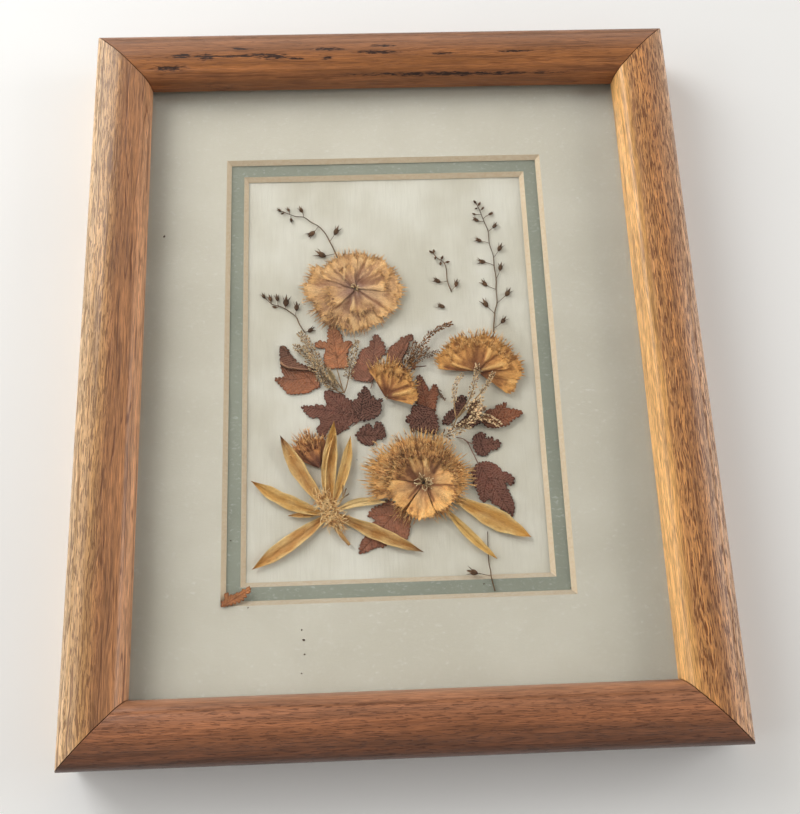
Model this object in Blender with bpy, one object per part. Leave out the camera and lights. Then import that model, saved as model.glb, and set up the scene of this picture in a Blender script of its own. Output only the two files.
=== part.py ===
"""Pressed flower frame: dried flowers, leaves and sprigs on a sheet, behind two bevelled mats
and glass, in a mitred oak frame.  It lies on its back: +Z comes out of the picture, +Y is the
top of the picture, and the origin is the middle of the frame's back.

Every size in this file is in millimetres; the helpers turn them into metres.
Places in the picture are measured from the middle of the inner mat's window, and heights in
the picture are measured up from the face of the mount sheet.
"""
import math

import bmesh
import bpy
from mathutils import Matrix, Vector

MM = 0.001
GAP = 0.3                     # air kept between neighbouring pieces

# --- driving dimensions ------------------------------------------------------------------
SIGHT_WIDTH = 190.2           # what shows inside the oak
SIGHT_HEIGHT = 239.8
MOULDING_WIDTH = 22.0
FRAME_DEPTH = 26.0            # back of the rails to the crown of the moulding
RABBET_WIDTH = 7.5            # how far the lip covers the glass

GLASS_SIZE = (203.2, 254.0)   # an 8 by 10 inch pane
GLASS_THICK = 2.0
BOARD_SIZE = (202.0, 252.6)   # mats, mount sheet and backing board
MAT_THICK = 1.5
SHEET_THICK = 1.0
BACKING_THICK = 3.0

INNER_WINDOW = (114.3, 165.1)
OUTER_WINDOW = (127.9, 178.4)
BEVEL_RUN = 1.75
WINDOW_SHIFT = (-0.85, -0.15)  # the mats sit a little left of and below the frame's middle

FACE = 8.0                    # height of the mount sheet's face above the back of the rails
MAT_TO_GLASS = 1.0            # the dried flowers hold the glass this far off the mats
LEAF_THICK = 0.4
SLOT = LEAF_THICK + GAP       # height of one layer of pressed pieces, with its air

INNER_MAT_LOW = FACE + GAP
OUTER_MAT_LOW = INNER_MAT_LOW + MAT_THICK + GAP
GLASS_LOW = OUTER_MAT_LOW + MAT_THICK + MAT_TO_GLASS
LIP_LOW = GLASS_LOW + GLASS_THICK + GAP
SHEET_LOW = FACE - SHEET_THICK
BACKING_LOW = SHEET_LOW - GAP - BACKING_THICK

# --- a clean scene with two collections ---------------------------------------------------
for old in list(bpy.data.objects):
    bpy.data.objects.remove(old, do_unlink=True)

PARTS = bpy.data.collections.new("pressed_flower_frame")
CUTTERS = bpy.data.collections.new("cutters")
bpy.context.scene.collection.children.link(PARTS)
bpy.context.scene.collection.children.link(CUTTERS)


# --- helpers ------------------------------------------------------------------------------
def finish(name, colour, roughness, metallic=0.0):
    """A plain Principled material."""
    made = bpy.data.materials.new(name)
    made.use_nodes = True
    shader = made.node_tree.nodes["Principled BSDF"]
    shader.inputs["Base Color"].default_value = (*colour, 1.0)
    shader.inputs["Roughness"].default_value = roughness
    shader.inputs["Metallic"].default_value = metallic
    return made


def place(name, mesh, surface=None, collection=PARTS):
    """An object for a mesh, with its material, in its collection."""
    made = bpy.data.objects.new(name, mesh)
    collection.objects.link(made)
    if surface:
        mesh.materials.clear()
        mesh.materials.append(surface)
    return made


def remove(objects):
    for item in objects:
        bpy.data.objects.remove(item, do_unlink=True)


def evaluated_mesh(item):
    """The mesh of an object with its modifiers or its bevel worked out."""
    bpy.context.view_layer.update()
    graph = bpy.context.evaluated_depsgraph_get()
    return bpy.data.meshes.new_from_object(item.evaluated_get(graph))


def solid_from_curve(name, item):
    """Turn a curve object into a closed mesh object and remove the curve."""
    mesh = evaluated_mesh(item)
    mesh.transform(item.matrix_world)
    work = bmesh.new()
    work.from_mesh(mesh)
    bmesh.ops.remove_doubles(work, verts=work.verts, dist=0.000002)
    bmesh.ops.recalc_face_normals(work, faces=work.faces)
    work.to_mesh(mesh)
    work.free()
    remove([item])
    return place(name, mesh)


def plate(name, outline, low, high):
    """A flat piece cut to an outline, between two heights."""
    curve = bpy.data.curves.new(name, "CURVE")
    curve.dimensions = "2D"
    curve.fill_mode = "BOTH"
    curve.extrude = (high - low) / 2 * MM
    spline = curve.splines.new("POLY")
    spline.points.add(len(outline) - 1)
    for point, (x, y) in zip(spline.points, outline):
        point.co = (x * MM, y * MM, 0.0, 1.0)
    spline.use_cyclic_u = True
    item = bpy.data.objects.new(name, curve)
    item.location.z = (high + low) / 2 * MM
    PARTS.objects.link(item)
    return solid_from_curve(name, item)


def rod(name, path, radius):
    """A round stem along a path of (x, y, z) points."""
    curve = bpy.data.curves.new(name, "CURVE")
    curve.dimensions = "3D"
    curve.bevel_depth = radius * MM
    curve.bevel_resolution = 1
    curve.use_fill_caps = True
    spline = curve.splines.new("POLY")
    spline.points.add(len(path) - 1)
    for point, place_on_path in zip(spline.points, path):
        point.co = (*(Vector(place_on_path) * MM), 1.0)
    item = bpy.data.objects.new(name, curve)
    PARTS.objects.link(item)
    return solid_from_curve(name, item)


def block(name, size, low, centre=(0.0, 0.0), taper=0.0, collection=PARTS):
    """A box standing on height `low`; `taper` widens its top on every side."""
    work = bmesh.new()
    bmesh.ops.create_cube(work, size=1.0)
    for corner in work.verts:
        grow = 2 * taper if corner.co.z > 0 else 0.0
        corner.co.x *= (size[0] + grow) * MM
        corner.co.y *= (size[1] + grow) * MM
        corner.co.z = (low + (size[2] if corner.co.z > 0 else 0.0)) * MM
    bmesh.ops.translate(work, verts=work.verts, vec=(centre[0] * MM, centre[1] * MM, 0.0))
    mesh = bpy.data.meshes.new(name)
    work.to_mesh(mesh)
    work.free()
    return place(name, mesh, collection=collection)


def dome(name, centre, radius, low, high):
    """A low rounded heart of a flower, flat underneath."""
    work = bmesh.new()
    bmesh.ops.create_uvsphere(work, u_segments=10, v_segments=6, radius=1.0)
    for point in work.verts:
        point.co.x = (centre[0] + point.co.x * radius) * MM
        point.co.y = (centre[1] + point.co.y * radius) * MM
        point.co.z = (low + (high - low) * (point.co.z + 1) / 2) * MM
    mesh = bpy.data.meshes.new(name)
    work.to_mesh(mesh)
    work.free()
    return place(name, mesh)


def cut(item, cutter):
    """Take the cutter's shape out of an object."""
    cutter.hide_render = True
    cutter.display_type = "WIRE"
    step = item.modifiers.new(cutter.name, "BOOLEAN")
    step.operation = "DIFFERENCE"
    step.solver = "EXACT"
    step.object = cutter


def fuse(name, pieces, surface):
    """Join overlapping pieces of one plant into a single closed body."""
    base = pieces[0]
    for other in pieces[1:]:
        step = base.modifiers.new(other.name, "BOOLEAN")
        step.operation = "UNION"
        step.solver = "EXACT"
        step.object = other
    mesh = evaluated_mesh(base)
    remove(pieces)
    return place(name, mesh, surface)


def on_sheet(items):
    """Move pieces from picture places to the frame's own place and height."""
    shift = Matrix.Translation((WINDOW_SHIFT[0] * MM, WINDOW_SHIFT[1] * MM, FACE * MM))
    for item in items:
        item.data.transform(shift)


OAK = finish("oak", (0.42, 0.21, 0.08), 0.35)
CLEAR_GLASS = finish("glass", (0.9, 0.95, 0.93), 0.02)
SAGE_CARD = finish("sage_card", (0.56, 0.54, 0.47), 0.9)
GREEN_CARD = finish("green_card", (0.28, 0.3, 0.24), 0.9)
OFF_WHITE = finish("off_white_paper", (0.66, 0.65, 0.58), 0.85)
GREY_BOARD = finish("grey_board", (0.36, 0.32, 0.27), 0.9)
STEEL = finish("steel", (0.55, 0.54, 0.52), 0.35, 1.0)
TAN_PETAL = finish("tan_petal", (0.62, 0.36, 0.15), 0.75)
GOLD_PETAL = finish("gold_petal", (0.64, 0.32, 0.08), 0.75)
YELLOW_PETAL = finish("yellow_petal", (0.68, 0.38, 0.08), 0.65)
RUSSET_LEAF = finish("russet_leaf", (0.28, 0.12, 0.07), 0.75)
MAUVE_LEAF = finish("mauve_leaf", (0.2, 0.09, 0.07), 0.75)
DARK_LEAF = finish("dark_leaf", (0.09, 0.035, 0.035), 0.75)
DRY_STEM = finish("dry_stem", (0.12, 0.08, 0.05), 0.8)
PALE_SPIKE = finish("pale_spike", (0.36, 0.26, 0.16), 0.85)


# --- oak rails ----------------------------------------------------------------------------
INNER_ROUND = (4.5, 7.0)      # width and height of the round from the lip to the crown
OUTER_ROUND = (3.8, 4.3)
CROWN_RISE = 1.7              # the crown stands this far above the two rounds
ROUND_STEPS = 5
CROWN_STEPS = 6
HANGER_PLATE = (44.0, 7.6, 0.8)
HANGER_POCKET = (49.0, 10.4, 3.0)
NAIL_SPACING = 34.0
NAIL_RADIUS = 0.7
NAIL_LENGTH = 6.0
POINT_SIZE = (8.0, 12.0, 0.6)   # width, length and thickness of a framing point
POINT_IN_WOOD = 5.5
POINT_LOW = BACKING_LOW - GAP - POINT_SIZE[2]
POINT_SPREAD = 0.28           # places of a rail's two points, as a share of its length


def moulding_profile(sight):
    """Cross-section of a rail whose lip edge is `sight` from the frame's middle."""
    shoulder = FRAME_DEPTH - CROWN_RISE
    outside = sight + MOULDING_WIDTH
    wall = sight + RABBET_WIDTH
    points = [(wall, LIP_LOW), (sight, LIP_LOW)]
    for step in range(ROUND_STEPS + 1):
        turn = math.pi / 2 * step / ROUND_STEPS
        points.append((sight + INNER_ROUND[0] * (1 - math.cos(turn)),
                       shoulder - INNER_ROUND[1] * (1 - math.sin(turn))))
    crown_span = MOULDING_WIDTH - INNER_ROUND[0] - OUTER_ROUND[0]
    for step in range(1, CROWN_STEPS):
        share = step / CROWN_STEPS
        points.append((sight + INNER_ROUND[0] + crown_span * share,
                       shoulder + CROWN_RISE * (1 - (2 * share - 1) ** 2)))
    for step in range(ROUND_STEPS + 1):
        turn = math.pi / 2 * step / ROUND_STEPS
        points.append((outside - OUTER_ROUND[0] * (1 - math.sin(turn)),
                       shoulder - OUTER_ROUND[1] * (1 - math.cos(turn))))
    return points + [(outside, 0.0), (wall, 0.0)]


def mitre(item, corner, keep):
    """Saw one end of a rail off at 45 degrees, a hair short of the neighbour."""
    work = bmesh.new()
    work.from_mesh(item.data)
    keep = Vector((*keep, 0.0)).normalized()
    corner = Vector((*corner, 0.0)) + keep * GAP / 2
    parts = work.verts[:] + work.edges[:] + work.faces[:]
    sawn = bmesh.ops.bisect_plane(work, geom=parts, plane_co=corner * MM, plane_no=-keep,
                                  clear_outer=True)
    rim = [part for part in sawn["geom_cut"] if isinstance(part, bmesh.types.BMEdge)]
    bmesh.ops.contextual_create(work, geom=rim)
    bmesh.ops.recalc_face_normals(work, faces=work.faces)
    work.to_mesh(item.data)
    work.free()


def rail(name, sight, length, quarter_turns):
    """One length of moulding, turned to its side of the frame and mitred at both ends."""
    raw = plate(name, moulding_profile(sight), -length / 2, length / 2)
    # the outline's x runs out from the frame's middle and its y runs up
    stand = Matrix(((0, 0, 1, 0), (1, 0, 0, 0), (0, 1, 0, 0), (0, 0, 0, 1)))
    turn = Matrix.Rotation(-quarter_turns * math.pi / 2, 4, "Z")
    raw.data.transform(turn @ stand)
    half = (SIGHT_WIDTH / 2, SIGHT_HEIGHT / 2)
    outward = turn.to_3x3() @ Vector((0, 1, 0))
    along = turn.to_3x3() @ Vector((1, 0, 0))
    for end in (-1, 1):
        side = outward + end * along
        corner = (math.copysign(half[0], side.x), math.copysign(half[1], side.y))
        keep = outward - end * along
        mitre(raw, corner, (keep.x, keep.y))
    raw.data.materials.append(OAK)
    return raw


RAIL_LENGTHS = (SIGHT_WIDTH + 3 * MOULDING_WIDTH, SIGHT_HEIGHT + 3 * MOULDING_WIDTH)
RAILS = {
    "rail_top": rail("rail_top", SIGHT_HEIGHT / 2, RAIL_LENGTHS[0], 0),
    "rail_right": rail("rail_right", SIGHT_WIDTH / 2, RAIL_LENGTHS[1], 1),
    "rail_bottom": rail("rail_bottom", SIGHT_HEIGHT / 2, RAIL_LENGTHS[0], 2),
    "rail_left": rail("rail_left", SIGHT_WIDTH / 2, RAIL_LENGTHS[1], 3),
}

# --- framing points: two thin steel blades in each rail, over the backing board -------------
SIDES = (("rail_top", SIGHT_HEIGHT, SIGHT_WIDTH, 0), ("rail_right", SIGHT_WIDTH, SIGHT_HEIGHT, 1),
         ("rail_bottom", SIGHT_HEIGHT, SIGHT_WIDTH, 2), ("rail_left", SIGHT_WIDTH, SIGHT_HEIGHT, 3))


def blade_outline(wall, grow=0.0):
    """A framing point seen from behind: square on the board, pointed in the wood."""
    half = POINT_SIZE[0] / 2 + grow
    tip = wall + POINT_IN_WOOD + grow
    heel = wall + POINT_IN_WOOD - POINT_SIZE[1]
    return [(-half, heel), (half, heel), (half, tip - 3.0), (1.0, tip), (-1.0, tip), (-half, tip - 3.0)]


for rail_name, across, along, quarter_turns in SIDES:
    wall = across / 2 + RABBET_WIDTH
    for number, share in enumerate((-POINT_SPREAD, POINT_SPREAD), start=1):
        turn = Matrix.Rotation(-quarter_turns * math.pi / 2, 4, "Z")
        move = turn @ Matrix.Translation((share * along * MM, 0, 0))
        blade = plate(f"framing_point_{rail_name[5:]}_{number}", blade_outline(wall),
                      POINT_LOW, POINT_LOW + POINT_SIZE[2])
        slot = plate(f"cut_{blade.name}", blade_outline(wall, GAP), POINT_LOW - GAP,
                     POINT_LOW + POINT_SIZE[2] + GAP)
        for item in (blade, slot):
            item.data.transform(move)
        blade.data.materials.append(STEEL)
        PARTS.objects.unlink(slot)
        CUTTERS.objects.link(slot)
        cut(RAILS[rail_name], slot)

# --- sawtooth hanger, let into the back of the top rail -------------------------------------
HANGER_Y = SIGHT_HEIGHT / 2 + (RABBET_WIDTH + MOULDING_WIDTH) / 2
HANGER_LOW = 1.0
TOOTH_COUNT = 9
TOOTH_DEPTH = 1.6
TOOTH_SHARE = 0.5             # the teeth take the middle half of the plate


def hanger_outline():
    half_x = HANGER_PLATE[0] / 2
    half_y = HANGER_PLATE[1] / 2
    teeth = []
    for step in range(2 * TOOTH_COUNT + 1):
        x = half_x * TOOTH_SHARE * (1 - step / TOOTH_COUNT)
        teeth.append((x, HANGER_Y - half_y + (TOOTH_DEPTH if step % 2 else 0.0)))
    return [(-half_x, HANGER_Y - half_y), (-half_x, HANGER_Y + half_y),
            (half_x, HANGER_Y + half_y), (half_x, HANGER_Y - half_y)] + teeth


def nail(name, x, radius, low, high):
    work = bmesh.new()
    bmesh.ops.create_cone(work, cap_ends=True, segments=12, radius1=radius * MM,
                          radius2=radius * MM, depth=(high - low) * MM)
    bmesh.ops.translate(work, verts=work.verts,
                        vec=(x * MM, HANGER_Y * MM, (high + low) / 2 * MM))
    mesh = bpy.data.meshes.new(name)
    work.to_mesh(mesh)
    work.free()
    return place(name, mesh)


pocket = block("cut_hanger_pocket", (HANGER_POCKET[0], HANGER_POCKET[1], HANGER_POCKET[2] + 1),
               -1.0, centre=(0, HANGER_Y), collection=CUTTERS)
cut(RAILS["rail_top"], pocket)
hanger_pieces = [plate("hanger_plate", hanger_outline(), HANGER_LOW, HANGER_LOW + HANGER_PLATE[2])]
for end in (-1, 1):
    x = end * NAIL_SPACING / 2
    tip = HANGER_LOW + NAIL_LENGTH
    hanger_pieces.append(nail(f"nail_shank_{end}", x, NAIL_RADIUS, HANGER_LOW + 0.3, tip))
    hanger_pieces.append(nail(f"nail_head_{end}", x, 2 * NAIL_RADIUS, HANGER_LOW - 0.5, HANGER_LOW + 0.2))
    hole = nail(f"cut_nail_{end}", x, NAIL_RADIUS + GAP, 0.0, tip + GAP)
    PARTS.objects.unlink(hole)
    CUTTERS.objects.link(hole)
    cut(RAILS["rail_top"], hole)
fuse("sawtooth_hanger", hanger_pieces, STEEL)

# --- glass, mats, mount sheet and backing board ---------------------------------------------
block("glass", (*GLASS_SIZE, GLASS_THICK), GLASS_LOW).data.materials.append(CLEAR_GLASS)
block("mount_sheet", (*BOARD_SIZE, SHEET_THICK), SHEET_LOW).data.materials.append(OFF_WHITE)
block("backing_board", (*BOARD_SIZE, BACKING_THICK), BACKING_LOW).data.materials.append(GREY_BOARD)


def mat(name, window, low, surface):
    """A card with a window cut through it at a slant, wider at the face."""
    card = block(name, (*BOARD_SIZE, MAT_THICK), low)
    over = 1.0                # the cutter runs past both faces on the same slant
    slant = BEVEL_RUN / MAT_THICK
    foot = [side - 2 * BEVEL_RUN - 2 * slant * over for side in window]
    tall = MAT_THICK + 2 * over
    knife = block(f"cut_{name}", (*foot, tall), low - over, centre=WINDOW_SHIFT,
                  taper=slant * tall, collection=CUTTERS)
    cut(card, knife)
    card.data.materials.append(surface)


mat("inner_mat", INNER_WINDOW, INNER_MAT_LOW, GREEN_CARD)
mat("outer_mat", OUTER_WINDOW, OUTER_MAT_LOW, SAGE_CARD)


# --- pressed leaves: flat lobed blades, outlines read round from a tip or a corner ----------
LEAF_STALK_RADIUS = 0.17


def layer(number):
    """Height of a layer of pressed pieces above the sheet's face."""
    return GAP + number * SLOT


def leaf(name, outline, low, surface, stalks=()):
    """A pressed leaf with its stalks, one flat body."""
    pieces = [plate(name + "_blade", outline, low, low + LEAF_THICK)]
    for number, path in enumerate(stalks):
        at = low + LEAF_THICK / 2
        pieces.append(rod(f"{name}_stalk_{number}", [(x, y, at) for x, y in path],
                          LEAF_STALK_RADIUS))
    made = fuse(name, pieces, surface)
    on_sheet([made])


leaf("leaf_folded_left",
     [(-43.0, 9.2), (-40.3, 9.0), (-38.9, 6.3), (-37.4, 4.7), (-35.5, 1.9), (-30.4, -0.3),
      (-29.0, -3.1), (-27.9, -5.5), (-27.8, -7.6), (-30.2, -8.4), (-31.6, -9.5), (-34.7, -10.0),
      (-39.6, -10.0), (-41.2, -8.3), (-43.1, -6.1), (-45.0, -3.5), (-41.4, -2.7), (-42.5, 0.0)],
     layer(0), MAUVE_LEAF)
leaf("leaf_russet_top",
     [(-25.4, 0.1), (-26.1, 4.7), (-25.4, 7.8), (-28.6, 8.4), (-29.5, 10.1), (-27.6, 11.4),
      (-24.7, 11.0), (-24.4, 15.0), (-23.5, 18.1), (-22.7, 19.2), (-21.2, 17.5), (-20.5, 15.6),
      (-19.0, 13.8), (-18.3, 10.7), (-17.1, 11.1), (-15.1, 10.6), (-14.6, 9.5), (-15.9, 7.9),
      (-16.8, 5.2), (-16.4, 2.1), (-17.1, 0.1), (-21.5, -0.2)],
     layer(0), RUSSET_LEAF)
leaf("leaf_mauve_middle",
     [(-5.4, 13.4), (-4.2, 12.3), (-3.4, 10.6), (-2.5, 9.5), (-2.1, 7.5), (-2.2, 4.4),
      (-4.4, 3.1), (-6.5, -0.9), (-7.3, -5.6), (-9.8, -5.9), (-12.4, -5.6), (-14.9, -4.4),
      (-15.8, -2.0), (-14.2, 0.7), (-12.8, 4.0), (-11.8, 6.4), (-10.1, 7.9), (-8.3, 8.7),
      (-8.1, 10.5), (-7.1, 11.0), (-6.7, 12.7)],
     layer(0), MAUVE_LEAF, stalks=[[(-7.6, -4.5), (-7.6, -6.5), (-8.2, -8.6)]])
leaf("leaf_purple_upright",
     [(-1.5, 4.4), (-1.1, 6.7), (0.2, 8.4), (2.9, 10.1), (4.1, 11.7), (5.9, 12.2), (7.2, 13.0),
      (8.7, 13.0), (8.9, 10.9), (7.4, 9.6), (6.7, 7.2), (5.3, 4.5), (4.2, 2.5), (2.5, 0.2),
      (-0.7, 0.3)],
     layer(0), MAUVE_LEAF)
leaf("leaf_dark_left",
     [(-34.8, -15.1), (-33.5, -14.6), (-31.0, -14.9), (-28.1, -14.2), (-25.8, -14.0),
      (-26.2, -11.4), (-25.8, -9.1), (-23.6, -8.8), (-21.7, -9.9), (-19.5, -9.9), (-17.6, -12.0),
      (-14.8, -13.7), (-12.7, -16.1), (-12.1, -19.1), (-13.4, -21.8), (-16.0, -22.6),
      (-16.9, -24.2), (-19.2, -25.2), (-21.4, -26.7), (-22.8, -24.6), (-22.9, -22.7),
      (-24.5, -24.6), (-26.4, -27.4), (-28.3, -26.6), (-29.2, -23.8), (-27.9, -22.3),
      (-30.4, -20.3), (-32.6, -18.4), (-34.0, -16.8)],
     layer(0), DARK_LEAF)
leaf("leaf_dark_centre",
     [(-10.4, -7.7), (-9.0, -9.2), (-8.4, -10.9), (-7.1, -12.0), (-6.2, -13.3), (-4.0, -13.0),
      (-3.4, -14.9), (-4.1, -17.0), (-5.1, -19.3), (-7.1, -20.9), (-8.7, -21.3), (-12.2, -21.7),
      (-14.0, -19.0), (-15.2, -16.7), (-15.8, -14.0), (-13.2, -12.4), (-13.5, -11.4),
      (-12.5, -10.1), (-11.5, -9.2), (-11.0, -8.0)],
     layer(1), DARK_LEAF, stalks=[[(-12.0, -20.5), (-13.8, -22.3), (-15.6, -23.6)]])
leaf("leaf_dark_low",
     [(-14.5, -26.8), (-13.5, -25.6), (-12.2, -24.0), (-10.6, -23.1), (-9.3, -22.4), (-8.1, -23.8),
      (-8.5, -25.4), (-7.5, -23.8), (-6.8, -22.2), (-5.2, -21.9), (-3.7, -23.9), (-3.0, -27.2),
      (-4.2, -28.8), (-6.4, -29.0), (-7.7, -30.9), (-9.9, -31.2), (-12.4, -30.1), (-13.6, -28.8)],
     layer(0), DARK_LEAF)
leaf("leaf_red_pointed",
     [(10.4, -3.7), (11.6, -4.5), (12.9, -7.0), (14.5, -10.0), (15.6, -8.0), (17.0, -7.7),
      (17.9, -10.4), (17.4, -12.9), (16.6, -15.8), (16.3, -18.2), (14.5, -17.5), (11.1, -16.7),
      (9.4, -15.9), (9.0, -13.7), (8.8, -10.9), (9.2, -8.0), (9.7, -4.4)],
     layer(0), RUSSET_LEAF)
leaf("leaf_black_lobed",
     [(7.7, -16.2), (10.8, -15.9), (14.5, -17.5), (16.1, -19.3), (17.0, -21.5), (16.9, -23.2),
      (17.2, -25.3), (15.7, -27.7), (13.4, -27.0), (10.7, -26.9), (8.7, -25.8), (6.9, -26.8),
      (6.2, -24.6), (5.3, -23.6), (4.6, -22.1), (5.1, -20.4), (6.5, -19.4), (6.9, -17.6)],
     layer(1), DARK_LEAF)
leaf("leaf_black_two_lobed",
     [(26.2, -12.4), (28.4, -13.3), (27.5, -17.5), (26.0, -19.6), (23.9, -21.0), (22.8, -22.3),
      (21.7, -23.7), (19.6, -23.8), (18.5, -22.9), (19.6, -20.5), (21.6, -18.4), (23.2, -17.4),
      (23.9, -14.9), (24.6, -13.5)],
     layer(0), DARK_LEAF)
leaf("leaf_behind_spikes",
     [(30.7, -15.1), (32.5, -14.5), (33.4, -15.9), (31.6, -18.0), (33.2, -20.2), (33.3, -23.4),
      (31.2, -24.7), (29.5, -25.4), (27.1, -24.6), (24.4, -25.2), (23.0, -24.8), (25.9, -22.1),
      (28.1, -20.0), (29.2, -17.2)],
     layer(0), DARK_LEAF)
leaf("leaf_red_right",
     [(35.3, -19.2), (37.1, -18.2), (38.8, -17.5), (41.0, -16.1), (42.8, -15.8), (43.7, -16.4),
      (43.3, -18.0), (45.0, -18.4), (46.7, -18.6), (49.5, -19.8), (48.6, -21.4), (45.7, -23.0),
      (43.5, -25.1), (41.4, -25.4), (39.0, -26.0), (35.6, -25.7), (34.0, -24.1), (33.1, -22.3),
      (34.5, -20.9)],
     layer(1), RUSSET_LEAF)
leaf("leaf_mauve_low",
     [(-10.6, -57.6), (-9.9, -56.1), (-8.0, -54.6), (-5.5, -53.9), (-3.6, -52.2), (-0.6, -53.3),
      (2.4, -55.5), (4.9, -59.6), (4.8, -62.7), (3.7, -66.7), (1.1, -67.2), (-3.0, -68.3),
      (-5.4, -69.7), (-6.9, -69.6), (-9.1, -70.2), (-11.6, -71.3), (-14.1, -71.6), (-14.2, -69.7),
      (-13.1, -66.7), (-11.7, -65.1), (-12.6, -64.0), (-10.4, -62.5), (-9.4, -60.7),
      (-8.0, -59.5), (-10.0, -58.5)],
     layer(0), MAUVE_LEAF)

# two leaves that still hang on one forked stalk
SMALL_OF_PAIR = [(29.8, -31.7), (30.0, -29.1), (31.5, -27.7), (33.6, -27.2), (35.0, -28.2),
                 (34.7, -29.7), (36.4, -28.7), (37.8, -29.6), (37.5, -30.6), (39.4, -30.5),
                 (40.4, -32.0), (39.0, -34.1), (36.4, -34.6), (34.7, -36.5), (31.8, -36.2),
                 (30.3, -34.6)]
BIG_OF_PAIR = [(28.6, -42.1), (31.2, -39.5), (34.1, -38.6), (37.4, -39.5), (41.7, -42.8),
               (43.4, -43.9), (44.5, -45.5), (44.2, -47.6), (42.9, -48.4), (41.9, -48.4),
               (42.5, -50.9), (43.4, -53.3), (44.0, -56.2), (43.1, -59.7), (41.4, -58.6),
               (40.2, -57.5), (39.0, -57.5), (37.9, -55.6), (35.9, -55.1), (34.7, -53.1),
               (32.5, -54.4), (31.2, -52.9), (30.2, -49.6), (29.1, -47.1)]
PAIR_STALK = [(23.6, -28.9), (27.2, -30.3), (29.5, -35.0), (32.2, -41.0)]
PAIR_FORK = [(26.7, -30.1), (28.8, -31.4), (31.0, -31.9)]
FORK_RISE = 0.02
low = layer(0)
at = low + LEAF_THICK / 2
pair = [plate("pair_big", BIG_OF_PAIR, low, low + LEAF_THICK),
        rod("pair_stalk", [(x, y, at) for x, y in PAIR_STALK], LEAF_STALK_RADIUS),
        rod("pair_fork", [(x, y, at + FORK_RISE) for x, y in PAIR_FORK], LEAF_STALK_RADIUS),
        plate("pair_small", SMALL_OF_PAIR, low, low + LEAF_THICK)]
on_sheet([fuse("leaf_pair_right", pair, DARK_LEAF)])


# --- fringed flowers: overlapping fan-shaped petals, their far edges cut into a fringe --------
PETAL_THICK = 0.4
PETAL_RISE = 0.3              # a petal that lies over another is this much higher
TOOTH_PITCH = 2.3
TOOTH_CUT = 0.88              # the fringe is cut down to this share of the petal's reach


def fan_petal(name, centre, heading, reach, spread, level, low):
    """One petal: a fan from the flower's centre with a fringed edge."""
    teeth = max(3, round(math.radians(spread) * reach / TOOTH_PITCH))
    outline = [centre]
    for step in range(2 * teeth + 1):
        angle = math.radians(heading - spread / 2 + spread * step / (2 * teeth))
        edge = 1 - 0.07 * (2 * step / (2 * teeth) - 1) ** 2
        distance = reach * edge * (TOOTH_CUT if step % 2 == 0 else 1.0)
        outline.append((centre[0] + distance * math.cos(angle),
                        centre[1] + distance * math.sin(angle)))
    bottom = low + level * PETAL_RISE
    return plate(name, outline, bottom, bottom + PETAL_THICK)


def fringed_flower(name, centre, low, petals, heart, surface):
    """A pressed flower: petals as (heading, reach, spread, level) and a low heart."""
    pieces = [dome(f"{name}_heart", centre, heart[0], low, low + heart[1])]
    for number, (heading, reach, spread, level) in enumerate(petals):
        pieces.append(fan_petal(f"{name}_{number}", centre, heading, reach, spread, level, low))
    on_sheet([fuse(name, pieces, surface)])


fringed_flower("flower_top_left", (-13.1, 32.3), layer(1),
               [(170, 22.0, 46, 1), (136, 18.0, 32, 2), (106, 18.2, 32, 1), (76, 17.8, 34, 2),
                (42, 17.4, 40, 1), (4, 19.6, 46, 2), (-32, 18.6, 36, 1), (-64, 18.2, 34, 2),
                (-97, 19.6, 38, 1), (-140, 20.8, 28, 2)],
               (2.6, 1.5), TAN_PETAL)
fringed_flower("flower_middle", (-2.5, -13.2), layer(2),
               [(101, 16.8, 28, 1), (82, 17.8, 28, 0), (61, 16.8, 30, 1), (38, 15.2, 32, 0),
                (6, 12.4, 38, 1)],
               (1.5, 1.0), GOLD_PETAL)
fringed_flower("flower_right", (33.1, -3.6), layer(2),
               [(151, 17.6, 38, 0), (123, 17.8, 36, 1), (95, 17.6, 36, 0), (66, 18.6, 36, 1),
                (37, 17.8, 34, 0), (8, 18.8, 34, 1), (-20, 16.6, 32, 0)],
               (2.0, 0.7), GOLD_PETAL)
fringed_flower("flower_bud_left", (-27.9, -39.6), layer(1),
               [(141, 15.6, 26, 0), (117, 17.4, 28, 1), (94, 14.2, 30, 0)],
               (1.4, 0.7), GOLD_PETAL)
fringed_flower("flower_bottom", (10.4, -46.7), layer(2),
               [(175, 23.4, 38, 0), (147, 24.6, 34, 1), (117, 22.0, 38, 0), (84, 21.6, 38, 1),
                (50, 20.4, 38, 0), (16, 20.2, 36, 1), (-16, 17.0, 34, 0), (-52, 13.6, 50, 1),
                (-105, 15.8, 58, 0), (-151, 17.8, 44, 1), (140, 14.0, 50, 2), (98, 13.0, 46, 3),
                (60, 13.4, 46, 2), (20, 11.5, 36, 3)],
               (2.6, 1.7), TAN_PETAL)


# --- long petals: the yellow lily and two loose petals of the same kind ----------------------
def long_petal(name, base, tip, half_width, low, bow=0.0, steps=7):
    """A strap-shaped petal, widest past the middle and drawn out to a point."""
    start = Vector((*base, 0.0))
    run = Vector((*tip, 0.0)) - start
    across = Vector((-run.y, run.x, 0.0)).normalized()
    left, right = [], []
    for step in range(steps + 1):
        share = step / steps
        middle = start + run * share + across * bow * math.sin(math.pi * share)
        width = half_width * (0.28 + 0.72 * math.sin(math.pi * share ** 1.15) ** 0.8)
        if step == steps:
            width = 0.12
        left.append(middle + across * width)
        right.append(middle - across * width)
    outline = [(point.x, point.y) for point in left + right[::-1]]
    return plate(name, outline, low, low + PETAL_THICK)


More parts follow.
